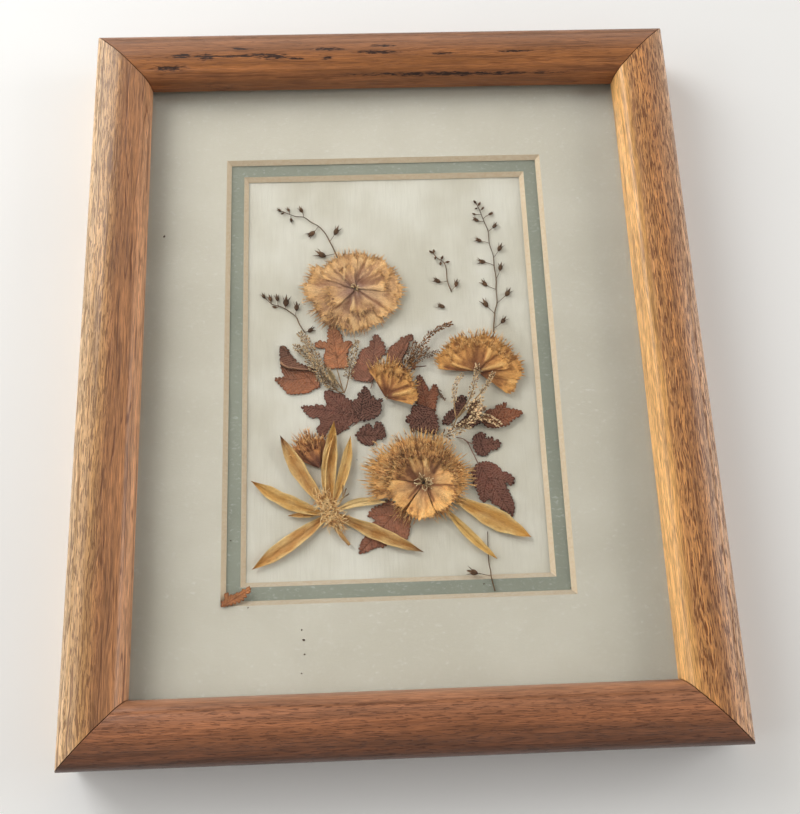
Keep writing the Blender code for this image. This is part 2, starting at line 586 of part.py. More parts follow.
LILY_CENTRE = (-24.7, -56.3)
LILY_PETALS = (               # base, tip, half width, height above the sheet, bow
    ((-25.9, -54.5), (-42.6, -27.2), 3.0, 2.05, 1.1),
    ((-26.8, -56.9), (-53.0, -43.9), 2.8, 1.0, 1.3),
    ((-26.0, -57.9), (-52.6, -75.9), 3.1, 1.12, 0.1),
    ((-24.4, -54.2), (-23.0, -22.7), 2.9, 2.17, 0.9),
    ((-23.8, -54.4), (-16.5, -28.1), 2.4, 1.65, -1.0),
    ((-22.8, -55.8), (-4.1, -53.6), 1.5, 1.06, 1.7),
    ((-22.9, -57.1), (9.2, -72.0), 2.8, 1.18, -0.2),
    ((-26.8, -56.5), (-40.0, -57.0), 1.1, 0.67, 0.0),
)
STAMEN_COUNT = 11
STAMEN_REACH = (4.6, 2.6)     # outer and inner radius of the ragged crown of stamens

stamens = []
for step in range(2 * STAMEN_COUNT):
    angle = math.pi * step / STAMEN_COUNT
    distance = STAMEN_REACH[step % 2]
    stamens.append((LILY_CENTRE[0] + distance * math.cos(angle),
                    LILY_CENTRE[1] + distance * math.sin(angle)))
lily = [plate("lily_stamens", stamens, 0.9, 2.3), dome("lily_heart", LILY_CENTRE, 3.2, 0.5, 3.0),
        rod("lily_stalk", [(-24.0, -59.0, 0.9), (-21.0, -64.4, 0.9), (-17.2, -69.2, 0.9)], 0.8)]
for number, (base, tip, half_width, height, bow) in enumerate(LILY_PETALS):
    lily.append(long_petal(f"lily_petal_{number}", base, tip, half_width, height, bow))
on_sheet([fuse("lily_left", lily, YELLOW_PETAL)])

for name, base, tip, half_width, bow in (
        ("petal_broad", (22.5, -53.0), (49.2, -67.8), 3.8, 0.0),
        ("petal_narrow", (18.4, -56.7), (36.0, -75.3), 1.8, -0.6)):
    petal = long_petal(name, base, tip, half_width, layer(1), bow)
    petal.data.materials.append(YELLOW_PETAL)
    on_sheet([petal])


# --- sprigs: thin stems with small toothed seed cups ------------------------------------------
STEM_RADIUS = 0.2
SPRIG_HEIGHT = 0.5
CUP_THICK = 0.4


def seed_cup(name, root, base, tip, height):
    """A seed cup on its stalk: a little goblet with three points, seen flat."""
    base = Vector((*base, 0.0))
    run = Vector((*tip, 0.0)) - base
    across = Vector((-run.y, run.x, 0.0)) * 0.3
    shape = [(0.0, 0.25), (0.35, 0.95), (0.75, 1.0), (1.0, 1.15), (0.72, 0.4), (1.05, 0.0),
             (0.72, -0.4), (1.0, -1.15), (0.75, -1.0), (0.35, -0.95), (0.0, -0.25)]
    corners = [base + run * along + across * side for along, side in shape]
    cup = plate(name, [(corner.x, corner.y) for corner in corners], height - CUP_THICK / 2,
                height + CUP_THICK / 2)
    if root is None:
        return [cup]
    inside = base + run * 0.3
    return [rod(name + "_stalk", [(*root, height), (inside.x, inside.y, height)], 0.14), cup]


def sprig(name, stem, cups, height=SPRIG_HEIGHT, surface=DRY_STEM):
    """A stem as a list of places, and its seed cups as (place on the stem, base, tip)."""
    path = [(*point, height) if len(point) == 2 else point for point in stem]
    pieces = [rod(name + "_stem", path, STEM_RADIUS)]
    for number, (root, base, tip) in enumerate(cups):
        pieces += seed_cup(f"{name}_cup_{number}", root, base, tip, height)
    on_sheet([fuse(name, pieces, surface)])


sprig("sprig_top_left",
      [(-43.0, 68.0), (-40.7, 66.9), (-36.6, 65.1), (-33.2, 64.6), (-30.2, 62.3), (-27.3, 60.4),
       (-24.7, 57.2), (-22.9, 53.5), (-21.5, 50.4), (-20.0, 46.5)],
      [((-42.4, 67.7), (-42.3, 67.4), (-43.9, 68.6)), ((-41.2, 67.2), (-41.2, 66.9), (-42.4, 66.0)),
       ((-39.0, 66.2), (-39.0, 67.2), (-39.9, 69.0)), ((-38.2, 65.8), (-38.5, 64.4), (-38.0, 62.3)),
       ((-33.3, 64.7), (-33.7, 66.7), (-35.0, 69.2)), ((-27.3, 60.3), (-28.8, 58.2), (-31.8, 55.8)),
       ((-22.9, 53.6), (-21.0, 56.5), (-19.2, 59.9)), ((-20.6, 48.3), (-24.6, 47.0), (-28.6, 49.0))])
sprig("sprig_left",
      [(-49.0, 30.2), (-45.9, 27.1), (-43.3, 26.3), (-40.8, 25.0), (-36.8, 21.8), (-35.4, 18.6),
       (-33.1, 14.7)],
      [((-48.3, 29.4), (-48.8, 29.6), (-49.9, 31.8)), ((-46.4, 27.6), (-46.3, 28.3), (-47.2, 31.0)),
       ((-43.6, 26.4), (-43.7, 28.4), (-44.3, 31.2)), ((-43.3, 26.3), (-44.2, 25.6), (-46.0, 26.2)),
       ((-40.8, 25.0), (-40.7, 26.0), (-40.2, 30.3)), ((-36.7, 21.6), (-36.5, 24.1), (-36.2, 27.6)),
       ((-33.4, 15.2), (-32.2, 15.2), (-29.4, 16.8))])
sprig("sprig_right",
      [(36.9, 69.4), (38.2, 66.1), (38.8, 64.0), (39.8, 60.7), (41.1, 56.4), (41.3, 50.9),
       (42.5, 45.8), (42.6, 40.7), (43.0, 35.7), (42.7, 31.2), (42.7, 25.5), (41.5, 21.0),
       (40.5, 13.0)],
      [((37.1, 68.9), (37.0, 69.0), (36.0, 70.6)), ((37.6, 67.6), (37.8, 68.0), (38.8, 69.6)),
       ((37.8, 67.1), (37.4, 67.0), (36.2, 66.4)), ((38.3, 65.7), (39.0, 66.2), (40.2, 67.4)),
       ((38.8, 64.0), (36.6, 64.0), (35.0, 64.6)), ((39.7, 61.0), (37.6, 61.0), (35.2, 62.5)),
       ((39.4, 62.0), (41.7, 63.8), (43.7, 64.7)), ((41.1, 56.4), (43.1, 57.8), (44.8, 60.0)),
       ((41.3, 51.1), (38.3, 52.0), (35.5, 53.2)), ((42.7, 44.9), (44.7, 47.6), (46.2, 50.6)),
       ((42.6, 41.3), (39.3, 42.9), (35.8, 43.5)), ((43.0, 35.7), (44.7, 39.0), (45.5, 42.2)),
       ((42.7, 31.0), (39.2, 32.5), (37.0, 35.0)), ((42.7, 25.2), (46.3, 28.0), (48.3, 31.0)),
       ((41.6, 20.6), (38.9, 23.5), (37.0, 26.8)), ((40.8, 14.6), (43.8, 16.6), (45.8, 19.2))])
sprig("sprig_small",
      [(17.9, 48.0), (20.0, 45.2), (22.4, 43.4), (23.3, 40.4), (23.5, 35.2), (24.9, 30.5)],
      [((18.2, 47.6), (18.2, 47.4), (16.8, 48.6)), ((18.4, 47.3), (18.6, 47.4), (18.8, 49.2)),
       ((19.2, 46.3), (19.4, 46.0), (19.0, 44.4)), ((21.2, 44.3), (21.5, 44.5), (22.3, 46.2)),
       ((21.6, 44.0), (21.4, 43.6), (20.9, 41.9)), ((22.6, 43.0), (23.2, 43.3), (25.0, 43.4)),
       ((23.5, 35.2), (20.8, 34.6), (17.9, 36.2)), ((24.7, 31.1), (26.7, 32.6), (27.4, 35.6))])

loose_cup = seed_cup("loose_seed_cup", None, (22.0, 23.9), (19.0, 25.1), SPRIG_HEIGHT)
on_sheet([fuse("loose_seed_cup", loose_cup, DRY_STEM)])

# a broken twig that slipped down: from the sheet it climbs over the edge of the inner mat
sprig("loose_twig",
      [(33.3, -65.1, 0.5), (33.1, -70.1, 0.5), (33.0, -74.8, 0.5), (33.1, -77.5, 0.8),
       (33.3, -79.8, 2.4), (33.4, -82.1, 2.4), (34.4, -87.0, 2.4)],
      [((33.3, -81.6), (28.6, -80.5), (24.8, -79.3))], height=2.4)

# a scrap of leaf that slipped down over the corner of the outer mat
SCRAP = [(-63.4, -89.3), (-63.4, -87.0), (-62.7, -87.2), (-62.3, -84.9), (-61.6, -84.2),
         (-60.6, -85.1), (-58.9, -85.0), (-58.3, -84.5), (-56.4, -84.0), (-56.0, -83.2),
         (-54.4, -82.9), (-54.0, -82.3), (-53.2, -82.9), (-53.0, -84.1), (-54.0, -84.9),
         (-55.5, -86.9), (-57.1, -87.8), (-60.2, -88.8)]
SCRAP_LOW = 2 * MAT_THICK + 3 * GAP


# --- feathery spikes: thin stems crowded with tiny florets -------------------------------------
SPIKE_THICK = 0.3
SPIKE_STEP = 0.023            # spikes of one spray cross at slightly different heights


def spike_outline(path, half_width, teeth):
    """A narrow ragged band round a path, pointed at its far end."""
    path = [Vector((*point, 0.0)) for point in path]
    lengths = [0.0]
    for near, far in zip(path, path[1:]):
        lengths.append(lengths[-1] + (far - near).length)
    left, right = [], []
    for step in range(2 * teeth + 1):
        reach = lengths[-1] * step / (2 * teeth)
        leg = max(index for index, length in enumerate(lengths[:-1]) if length <= reach + 1e-6)
        run = path[leg + 1] - path[leg]
        middle = path[leg] + run * ((reach - lengths[leg]) / run.length)
        across = Vector((-run.y, run.x, 0.0)).normalized()
        forward = run.normalized() * half_width * 0.5
        share = step / (2 * teeth)
        width = half_width * (1 - 0.55 * share) * (1.0 if step % 2 else 0.4)
        lean = forward if step % 2 else Vector((0.0, 0.0, 0.0))
        left.append(middle + across * width + lean)
        right.append(middle - across * width + lean)
    return [(point.x, point.y) for point in left + right[::-1]]


def spray(name, stems, spikes, low, surface=PALE_SPIKE):
    """Bare stems as paths, and floret spikes as (path, half width, teeth)."""
    pieces = []
    for number, path in enumerate(stems):
        at = low + STEM_RADIUS + SPIKE_STEP / 2 * (number + 1)
        pieces.append(rod(f"{name}_stem_{number}", [(x, y, at) for x, y in path], STEM_RADIUS))
    for number, (path, half_width, teeth) in enumerate(spikes):
        bottom = low + SPIKE_STEP * number
        pieces.append(plate(f"{name}_spike_{number}", spike_outline(path, half_width, teeth),
                            bottom, bottom + SPIKE_THICK))
    on_sheet([fuse(name, pieces, surface)])


spray("spray_left",
      [[(-18.6, -10.4), (-21.7, -8.9), (-27.2, -1.8)], [(-21.0, -9.0), (-24.6, -7.7), (-29.2, 0.2)],
       [(-18.6, -10.4), (-17.6, -8.4), (-16.1, -2.0)], [(-18.6, -10.4), (-19.7, -6.0), (-20.9, -0.9)]],
      [([(-22.6, -7.8), (-27.0, -2.1), (-30.4, 6.5), (-33.3, 11.7), (-35.2, 14.2)], 1.9, 11),
       ([(-25.6, -6.2), (-29.0, -0.2), (-32.9, 5.7), (-37.0, 9.0)], 1.6, 9),
       ([(-16.9, -4.8), (-15.6, 1.2), (-14.7, 4.3), (-13.0, 10.4)], 1.0, 9),
       ([(-21.3, -8.6), (-21.9, -6.9), (-23.2, -3.5), (-24.3, -0.4)], 1.3, 3)],
      layer(1))
spray("spray_middle",
      [[(6.2, -0.2), (8.6, 3.6), (10.0, 5.7)], [(6.4, -0.2), (9.8, -0.6), (13.5, -0.4)]],
      [([(7.0, 1.2), (10.0, 5.7), (13.6, 10.1), (17.7, 14.0), (24.2, 16.9)], 1.1, 12),
       ([(6.6, 0.2), (7.6, 4.4), (9.8, 9.3)], 1.2, 6), ([(7.2, 0.6), (10.8, 4.0), (14.8, 7.3)], 1.2, 6),
       ([(7.2, 0.2), (12.2, 2.8), (18.5, 5.4)], 1.2, 7),
       ([(3.6, 0.4), (5.4, 1.7), (7.9, 0.5), (9.2, -1.0)], 0.9, 4)],
      layer(1))
spray("spray_right",
      [[(22.2, -26.3), (24.5, -21.4), (29.4, -14.5), (31.4, -8.8)],
       [(24.5, -21.8), (31.0, -15.2), (35.5, -10.4), (38.7, -5.4)],
       [(23.9, -22.6), (23.3, -18.0), (23.5, -12.4)]],
      [([(29.2, -14.6), (30.9, -10.2), (32.4, -4.6), (33.2, -0.6)], 1.3, 8),
       ([(33.6, -12.6), (36.4, -8.8), (39.2, -4.4)], 0.8, 5),
       ([(23.4, -16.2), (23.6, -11.6), (24.6, -7.9), (27.2, -4.9)], 0.8, 8),
       ([(18.8, -28.9), (24.3, -26.4), (28.8, -23.7), (34.0, -18.1)], 1.9, 9),
       ([(28.0, -20.2), (30.9, -17.4), (33.6, -15.0)], 1.4, 5),
       ([(30.6, -22.0), (33.4, -21.9), (36.4, -23.0), (40.0, -25.4)], 1.1, 6)],
      layer(3) + 0.35)
spray("twig_dark_small", [[(17.3, -9.9), (18.8, -13.0), (20.3, -14.4)]],
      [([(17.5, -10.2), (18.8, -13.0), (20.1, -14.2)], 0.6, 4)], layer(1), DRY_STEM)

leaf("leaf_scrap_on_mat", SCRAP, SCRAP_LOW, RUSSET_LEAF)
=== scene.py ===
"""Pressed flowers on a sheet, behind two mats and glass, in an oak frame: the looks of each piece.

Sizes are in millimetres.  Places in the picture are measured from the middle of the inner mat's
window and heights from the face of the mount sheet, as in the part's own source.
"""

import math
import random

import bmesh
import bpy
import numpy as np
from mathutils import Matrix, Vector, noise
from mathutils.geometry import delaunay_2d_cdt


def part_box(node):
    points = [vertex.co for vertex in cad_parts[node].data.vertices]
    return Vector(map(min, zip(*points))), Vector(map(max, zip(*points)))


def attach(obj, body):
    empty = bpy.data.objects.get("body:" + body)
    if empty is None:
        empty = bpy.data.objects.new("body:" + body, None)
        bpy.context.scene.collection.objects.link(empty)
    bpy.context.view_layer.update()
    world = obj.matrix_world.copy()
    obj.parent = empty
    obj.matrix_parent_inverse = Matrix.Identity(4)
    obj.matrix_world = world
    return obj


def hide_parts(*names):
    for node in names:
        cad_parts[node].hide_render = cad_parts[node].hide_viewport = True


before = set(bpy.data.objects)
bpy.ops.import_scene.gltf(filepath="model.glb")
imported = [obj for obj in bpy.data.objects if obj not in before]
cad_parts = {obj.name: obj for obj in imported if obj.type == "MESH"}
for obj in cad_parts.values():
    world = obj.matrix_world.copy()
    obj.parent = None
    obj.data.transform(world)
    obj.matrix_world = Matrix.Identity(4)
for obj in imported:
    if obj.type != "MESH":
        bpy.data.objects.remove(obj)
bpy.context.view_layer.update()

# === mount sheet ================================================================================
# Off-white paper with a faint upright thread in it.  The plants are glued to it, and the glue has
# drawn it into shallow puckers.
MM = 0.001
SHEET_LOW, SHEET_FACE = 7.0, 8.0
WINDOW = (-0.85, -0.15)          # middle of the inner mat's window, from the frame's middle
PUCKER = 0.2


def rgb(red, green, blue):
    """A colour as it is read off a screen, in the strengths that a shader wants."""
    return tuple(c / 12.92 if c <= 0.04045 else ((c + 0.055) / 1.055) ** 2.4
                 for c in (red / 255, green / 255, blue / 255))


class Finish:
    """A material on Blender's own shader, with one short call for each kind of node it uses."""

    def __init__(self, name, roughness, **sockets):
        self.material = bpy.data.materials.new(name)
        self.material.use_nodes = True
        self.tree = self.material.node_tree
        self.shader = self.tree.nodes["Principled BSDF"]
        self.shader.inputs["Roughness"].default_value = roughness
        for socket, value in sockets.items():
            self.shader.inputs[socket.replace("_", " ")].default_value = value

    def feed(self, socket, value):
        if isinstance(value, bpy.types.NodeSocket):
            self.tree.links.new(value, socket)
        elif isinstance(value, tuple) and socket.type == "RGBA":
            socket.default_value = (*value[:3], 1.0)
        else:
            socket.default_value = value

    def node(self, kind, settings, feeds, out=0):
        made = self.tree.nodes.new("ShaderNode" + kind)
        for setting, value in settings.items():
            setattr(made, setting, value)
        for socket, value in feeds.items():
            self.feed(made.inputs[socket], value)
        return made.outputs[out]

    def places(self, size, turn=0.0):
        """Where a point lies on the object, in steps of `size` millimetres after a turn."""
        spot = self.node("TexCoord", {}, {}, "Object")
        size = Vector(size if isinstance(size, tuple) else (size, size, size))
        return self.node("Mapping", {"vector_type": "TEXTURE"},
                         {"Vector": spot, "Rotation": (0, 0, turn), "Scale": size * MM})

    def mark(self, name, out="Fac"):
        """A value that the mesh carries at its points."""
        return self.node("Attribute", {"attribute_name": name}, {}, out)

    def mottle(self, where, detail=2.0, rough=0.5, bend=0.0):
        """Clouds of the given size in millimetres, or over places worked out before."""
        if not isinstance(where, bpy.types.NodeSocket):
            where = self.places(where)
        return self.node("TexNoise", {}, {"Vector": where, "Scale": 1.0, "Detail": detail,
                                          "Roughness": rough, "Distortion": bend})

    def between(self, value, low, high, start=0.0, end=1.0):
        """Goes smoothly from `start` to `end` while the value goes from `low` to `high`."""
        return self.node("MapRange", {"interpolation_type": "SMOOTHSTEP"},
                         {"Value": value, "From Min": low, "From Max": high,
                          "To Min": start, "To Max": end})

    def sums(self, how, first, second=0.0):
        return self.node("Math", {"operation": how}, {0: first, 1: second})

    def mix(self, share, first, second, how="MIX"):
        return self.node("Mix", {"data_type": "RGBA", "blend_type": how},
                         {0: share, 6: first, 7: second}, 2)

    def times(self, colour, by):
        return self.mix(1.0, colour, by, "MULTIPLY")

    def relief(self, height, depth):
        """Bumps `depth` millimetres tall where the height runs from 0 to 1."""
        return self.node("Bump", {}, {"Height": height, "Distance": depth * MM})

    def paint(self, colour, relief=None):
        """The finished material, with its colour and its bumps."""
        self.feed(self.shader.inputs["Base Color"], colour)
        if relief:
            self.feed(self.shader.inputs["Normal"], relief)
        return self.material


def piece(name, points, faces, finish, slot, instead_of=(), **marks):
    """A mesh of millimetre points that rides on the frame, in place of the solids it stands for."""
    mesh = bpy.data.meshes.new(name)
    mesh.from_pydata((np.asarray(points, float) * MM).tolist(), [], [tuple(f) for f in faces])
    mesh.materials.append(finish)
    mesh.polygons.foreach_set("use_smooth", [True] * len(mesh.polygons))
    for mark, values in marks.items():
        values = np.asarray(values, np.float32)
        kind, field = ("FLOAT", "value") if values.ndim == 1 else ("FLOAT_VECTOR", "vector")
        mesh.attributes.new(mark, kind, "POINT").data.foreach_set(field, values.ravel())
    made = bpy.data.objects.new(name, mesh)
    bpy.context.scene.collection.objects.link(made)
    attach(made, "root")
    if instead_of:
        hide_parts(*instead_of)
    return made


def two_sided(upper, lower, faces):
    """A closed shape from an upper and a lower skin that share one list of faces."""
    count = len(upper)
    sides = {}
    for f in faces:
        for a, b in zip(f, f[1:] + f[:1]):
            if (b, a) in sides:
                del sides[(b, a)]
            else:
                sides[(a, b)] = True
    shut = faces + [tuple(count + i for i in reversed(f)) for f in faces]
    shut += [(b, a, count + a, count + b) for a, b in sides]
    return np.vstack([upper, lower]), shut


def grid_faces(rows, columns):
    """Four-cornered faces of a grid whose points are counted along the columns."""
    return [(r * columns + c, r * columns + c + 1, (r + 1) * columns + c + 1, (r + 1) * columns + c)
            for r in range(rows - 1) for c in range(columns - 1)]


def ripple(x, y, z):
    """Smooth ups and downs between -1 and 1, about one step of the values long."""
    return noise.noise(Vector((x, y, z)))


paper = Finish("laid_paper", 0.85, Specular_IOR_Level=0.25)
thread = paper.mottle((0.45, 9.0, 5.0), detail=3.0, rough=0.6)
weft = paper.mottle((6.0, 0.5, 5.0))
cloud = paper.mottle((26, 34, 20), detail=3.0)
tone = paper.mix(paper.between(cloud, 0.3, 0.7), rgb(227, 223, 210), rgb(207, 201, 184))
tone = paper.mix(paper.between(thread, 0.4, 0.7, 0.0, 0.15), tone, rgb(178, 170, 152))
grain = paper.sums("ADD", thread, paper.sums("MULTIPLY", weft, 0.35))
paper.paint(tone, paper.relief(grain, 0.09))

PUCKERED = (60, 86)              # half width and half height of the part that shows
FADE = 8                         # the puckers fade out over this much at its edges
FINE_STEP, EDGE_LINES = 0.9, 6


def graded(side):
    """Grid lines along one side of the sheet, close together where the sheet shows."""
    low, high = (corner[side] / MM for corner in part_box("mount_sheet"))
    start, end = WINDOW[side] - PUCKERED[side], WINDOW[side] + PUCKERED[side]
    return np.concatenate([np.linspace(low, start, EDGE_LINES)[:-1], np.arange(start, end, FINE_STEP),
                           np.linspace(end, high, EDGE_LINES)])


columns, rows = graded(0), graded(1)
face = []
for y in rows:
    for x in columns:
        shown = 1.0
        for place, middle, half in zip((x, y), WINDOW, PUCKERED):
            shown *= min(1.0, max(0.0, (half - abs(place - middle)) / FADE))
        wave = ripple(x / 17, y / 30, 0.4) + 0.5 * ripple(x / 7, y / 15, 3)
        face.append((x, y, SHEET_FACE + PUCKER * shown * wave))
back = [(x, y, SHEET_LOW) for x, y, _ in face]
points, faces = two_sided(face, back, grid_faces(len(rows), len(columns)))
piece("sheet", points, faces, paper.material, "off_white_paper", ["mount_sheet"])

# === leaves =====================================================================================
# Lobed leaves, pressed dry.  Their veins stand up in close ribs, the blades have buckled a little,
# and their colours have gone from russet to nearly black.
LEAF_STEP, EDGE_STEP = 0.38, 0.26          # how fine the mesh of a blade and of its edge is
TOOTH_DEPTH, TOOTH_PITCH = 0.75, 1.55
RIB_PITCH, BUCKLE = 1.15, 0.34


def top_rims(node):
    """The outlines of a flat solid's upper faces, counter-clockwise, in picture places."""
    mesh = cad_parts[node].data
    corners = np.array([v.co for v in mesh.vertices]) / MM - np.array((*WINDOW, SHEET_FACE))
    top = corners[:, 2].max() - 0.01
    sides = set()
    for polygon in mesh.polygons:
        ring = [tuple(np.round(corners[i], 3)) for i in polygon.vertices]
        if min(corner[2] for corner in ring) > top:
            for a, b in zip(ring, ring[1:] + ring[:1]):
                sides ^= {(a[:2], b[:2])} if (b[:2], a[:2]) not in sides else {(b[:2], a[:2])}
    follow = dict(sides)
    rims = []
    while follow:
        ring, at = [], next(iter(follow))
        while at in follow:
            ring.append(at)
            at = follow.pop(at)
        rims.append(ring)
    return [ring for ring in rims if len(ring) > 8]


def spline(before, here, after, last, share):
    """A place on the smooth line through four corners, between the middle two of them."""
    return 0.5 * (2 * here + (after - before) * share
                  + (2 * before - 5 * here + 4 * after - last) * share * share
                  + (3 * here - before - 3 * after + last) * share ** 3)


def outward(line):
    """The direction that leads out of a closed counter-clockwise line, at each of its places."""
    along = np.roll(line, -1, 0) - np.roll(line, 1, 0)
    return np.stack([along[:, 1], -along[:, 0]], 1) / np.linalg.norm(along, axis=1)[:, None]


def toothed(ring):
    """A smooth line through a ring's corners in even steps, cut into small rounded teeth."""
    ring = [Vector(corner) for corner in ring]
    fine = []
    for i, here in enumerate(ring):
        before, after, last = ring[i - 1], ring[(i + 1) % len(ring)], ring[(i + 2) % len(ring)]
        fine += [spline(before, here, after, last, k / 12) for k in range(12)]
    lengths = np.cumsum([0] + [(b - a).length for a, b in zip(fine, fine[1:] + fine[:1])])
    spots = np.linspace(0, lengths[-1], max(12, int(lengths[-1] / EDGE_STEP)), endpoint=False)
    closed = np.array(fine + fine[:1])
    line = np.stack([np.interp(spots, lengths, closed[:, k]) for k in (0, 1)], 1)
    uneven = np.array([ripple(spot / 4, 0.75, 0) for spot in spots])
    tooth = np.abs(np.sin(np.pi * (spots / TOOTH_PITCH + uneven))) ** 0.55
    return line + outward(line) * (TOOTH_DEPTH * (1 + 1.1 * uneven) * (tooth - 0.72))[:, None]


def inside(points, ring):
    """Which of the points lie inside a closed ring."""
    a, b = ring, np.roll(ring, -1, 0)
    x, y = points[:, :1], points[:, 1:]
    over = (a[:, 1] > y) != (b[:, 1] > y)
    meets = x < (b[:, 0] - a[:, 0]) * (y - a[:, 1]) / (b[:, 1] - a[:, 1] + 1e-12) + a[:, 0]
    return (over & meets).sum(1) % 2 == 1


def to_line(points, line):
    """Distance from each point to a line of corners, and how far along the line it is nearest."""
    near = np.full(len(points), 1e9)
    along = np.zeros(len(points))
    gone = 0.0
    for a, b in zip(line, line[1:]):
        run = b - a
        length = np.linalg.norm(run)
        share = np.clip((points - a) @ run / length ** 2, 0, 1)
        gap = np.linalg.norm(points - a - share[:, None] * run, axis=1)
        closer = gap < near
        near[closer] = gap[closer]
        along[closer] = gone + share[closer] * length
        gone += length
    return near, along


def leaf_veins(ring, base):
    """A midrib from the leaf's base to its farthest tip, and a side vein to each other lobe."""
    base = np.array(base)
    reach = np.linalg.norm(ring - base, axis=1)
    span = max(8, len(ring) // 22)
    tips = [i for i in range(len(ring)) if reach[i] > 0.3 * reach.max()
            and reach[i] == max(reach[(i + k) % len(ring)] for k in range(-span, span + 1))]
    far = max(tips, key=lambda i: reach[i])
    axis = (ring[far] - base) / reach[far]
    veins = [np.linspace(base, ring[far], 8)]
    for i in tips:
        if i != far:
            root = base + axis * max(0.0, float((ring[i] - base) @ axis) * 0.42)
            bow = axis * 0.08 * np.linalg.norm(ring[i] - root)
            share = np.linspace(0, 1, 8)[:, None]
            veins.append(root * (1 - share) + ring[i] * share - bow * np.sin(np.pi * share))
    return veins


def shade(first, second, share):
    """Colours between two, one for each share."""
    share = np.clip(share, 0, 1)[:, None]
    return np.array(first) * (1 - share) + np.array(second) * share


def tones(colours, share):
    """Tints from the first to the second of two screen colours, one for each share."""
    return shade(rgb(*colours[0]), rgb(*colours[1]), share)


def bays(outline, cuts):
    """Narrow bays between a leaf's lobes: where each opens, how deep it runs and how wide."""
    inward = -outward(outline)
    for x, y, depth, half_width in cuts:
        gap = np.linalg.norm(outline - (x, y), axis=1)
        mouth = inward[int(np.argmin(gap))]
        outline = outline + np.outer(depth * np.exp(-(gap / half_width) ** 2), mouth)
    return outline


def waves(places, size, seed):
    """Smooth ups and downs, about `size` millimetres long, at each place."""
    return np.array([ripple(x / size, y / size, seed) for x, y in places])


def blade(ring, base, height, colours, run, seed, cuts=()):
    """One leaf blade: ribs, buckles, a lifted edge, and colours that change along `run`."""
    outline = bays(toothed(ring), cuts)
    closed = np.vstack([outline, outline[:1]])
    low, high = outline.min(0), outline.max(0)
    spots = np.array([(x + (k % 2) * LEAF_STEP / 2, y)
                      for k, y in enumerate(np.arange(low[1], high[1], LEAF_STEP * 0.87))
                      for x in np.arange(low[0], high[0], LEAF_STEP)])
    spots = spots[inside(spots, outline)]
    spots = spots[to_line(spots, closed)[0] > 0.17]
    flat = [Vector(spot) for spot in np.vstack([outline, spots])]
    verts, _, faces, *_ = delaunay_2d_cdt(flat, [], [list(range(len(outline)))], 1, 1e-4)
    places = np.array([tuple(v) for v in verts])
    faces = [tuple(f) for f in faces]
    edge = to_line(places, closed)[0]
    rib = np.full(len(places), 1e9)
    fan = np.zeros(len(places))
    for number, vein in enumerate(leaf_veins(outline, base)):
        gap, along = to_line(places, vein)
        closer = gap * (0.75 if number == 0 else 1.0) < rib
        rib[closer] = gap[closer]
        fan[closer] = (along - 0.85 * gap)[closer] + 0.6 * number
    ridge = np.cos(2 * np.pi * fan / RIB_PITCH) * np.clip(edge / 0.8, 0, 1) * np.clip(rib / 0.5, 0, 1)
    swell, small = waves(places, 6.5, seed), waves(places, 1.9, seed + 9)
    rise = (BUCKLE * swell + 0.2 * small + 0.09 * ridge - 0.14 * np.exp(-(rib / 0.3) ** 2)
            + 0.30 * np.exp(-(edge / 1.1) ** 2) * (0.3 + swell))
    rise = np.maximum(rise, -0.12) + height
    start, end = (np.array(place) for place in run)
    share = (places - start) @ (end - start) / ((end - start) @ (end - start)) + 0.5 * swell
    tint = tones(colours, share)
    points, faces = two_sided(np.column_stack([places, rise + 0.1]),
                              np.column_stack([places, rise - 0.02]), faces)
    marks = {"rib": np.tile(rib, 2), "fan": np.tile(fan, 2), "edge": np.tile(edge, 2),
             "tint": np.tile(tint, (2, 1))}
    return points, faces, marks


def smooth_path(path, step=0.5):
    """Places close together on a smooth line through a path's corners."""
    path = [np.array(corner, float) for corner in path]
    path = [2 * path[0] - path[1], *path, 2 * path[-1] - path[-2]]
    fine = []
    for before, here, after, last in zip(path, path[1:], path[2:], path[3:]):
        shares = np.arange(0, 1, min(0.5, step / np.linalg.norm(after - here)))
        fine += [spline(before, here, after, last, share) for share in shares]
    return np.array(fine + [path[-2]])


def plain_marks(points, tint):
    """What a leaf's finish reads, for a piece with a tint of its own and no veins."""
    flat = np.ones(len(points))
    return {"rib": flat, "fan": flat * 0, "edge": flat, "tint": tint}


def stem(path, start, end, colours, sides=6, seed=0.0):
    """A round stalk along a path of (x, y, z) places, from one radius to another."""
    line = smooth_path(path)
    along = np.gradient(line, axis=0)
    along /= np.linalg.norm(along, axis=1)[:, None]
    side = np.cross(along, (0, 0, 1))
    side /= np.linalg.norm(side, axis=1)[:, None]
    over = np.cross(side, along)
    share = np.linspace(0, 1, len(line))
    knots = np.array([ripple(s * 9 + seed, seed, 0) for s in share])
    radius = (start + (end - start) * share) * (1 + 0.22 * knots)
    points = []
    for k in range(sides):
        turn = 2 * math.pi * k / sides
        points.append(line + (side * math.cos(turn) + over * math.sin(turn)) * radius[:, None])
    points = np.stack(points, 1).reshape(-1, 3)
    count = len(line)
    faces = [(r * sides + k, r * sides + (k + 1) % sides, (r + 1) * sides + (k + 1) % sides,
              (r + 1) * sides + k) for r in range(count - 1) for k in range(sides)]
    faces += [tuple(range(sides))[::-1], tuple((count - 1) * sides + k for k in range(sides))]
    return points, faces, plain_marks(points, np.repeat(tones(colours, share + 0.4 * knots), sides, 0))


def joined(shapes):
    """One shape from several: their points, faces and marks one after another."""
    points, faces, marks = [], [], {}
    for more_points, more_faces, more_marks in shapes:
        first = sum(len(part) for part in points)
        points.append(more_points)
        faces += [tuple(first + i for i in f) for f in more_faces]
        for mark, values in more_marks.items():
            marks.setdefault(mark, []).append(values)
    return np.vstack(points), faces, {mark: np.concatenate(marks[mark]) for mark in marks}


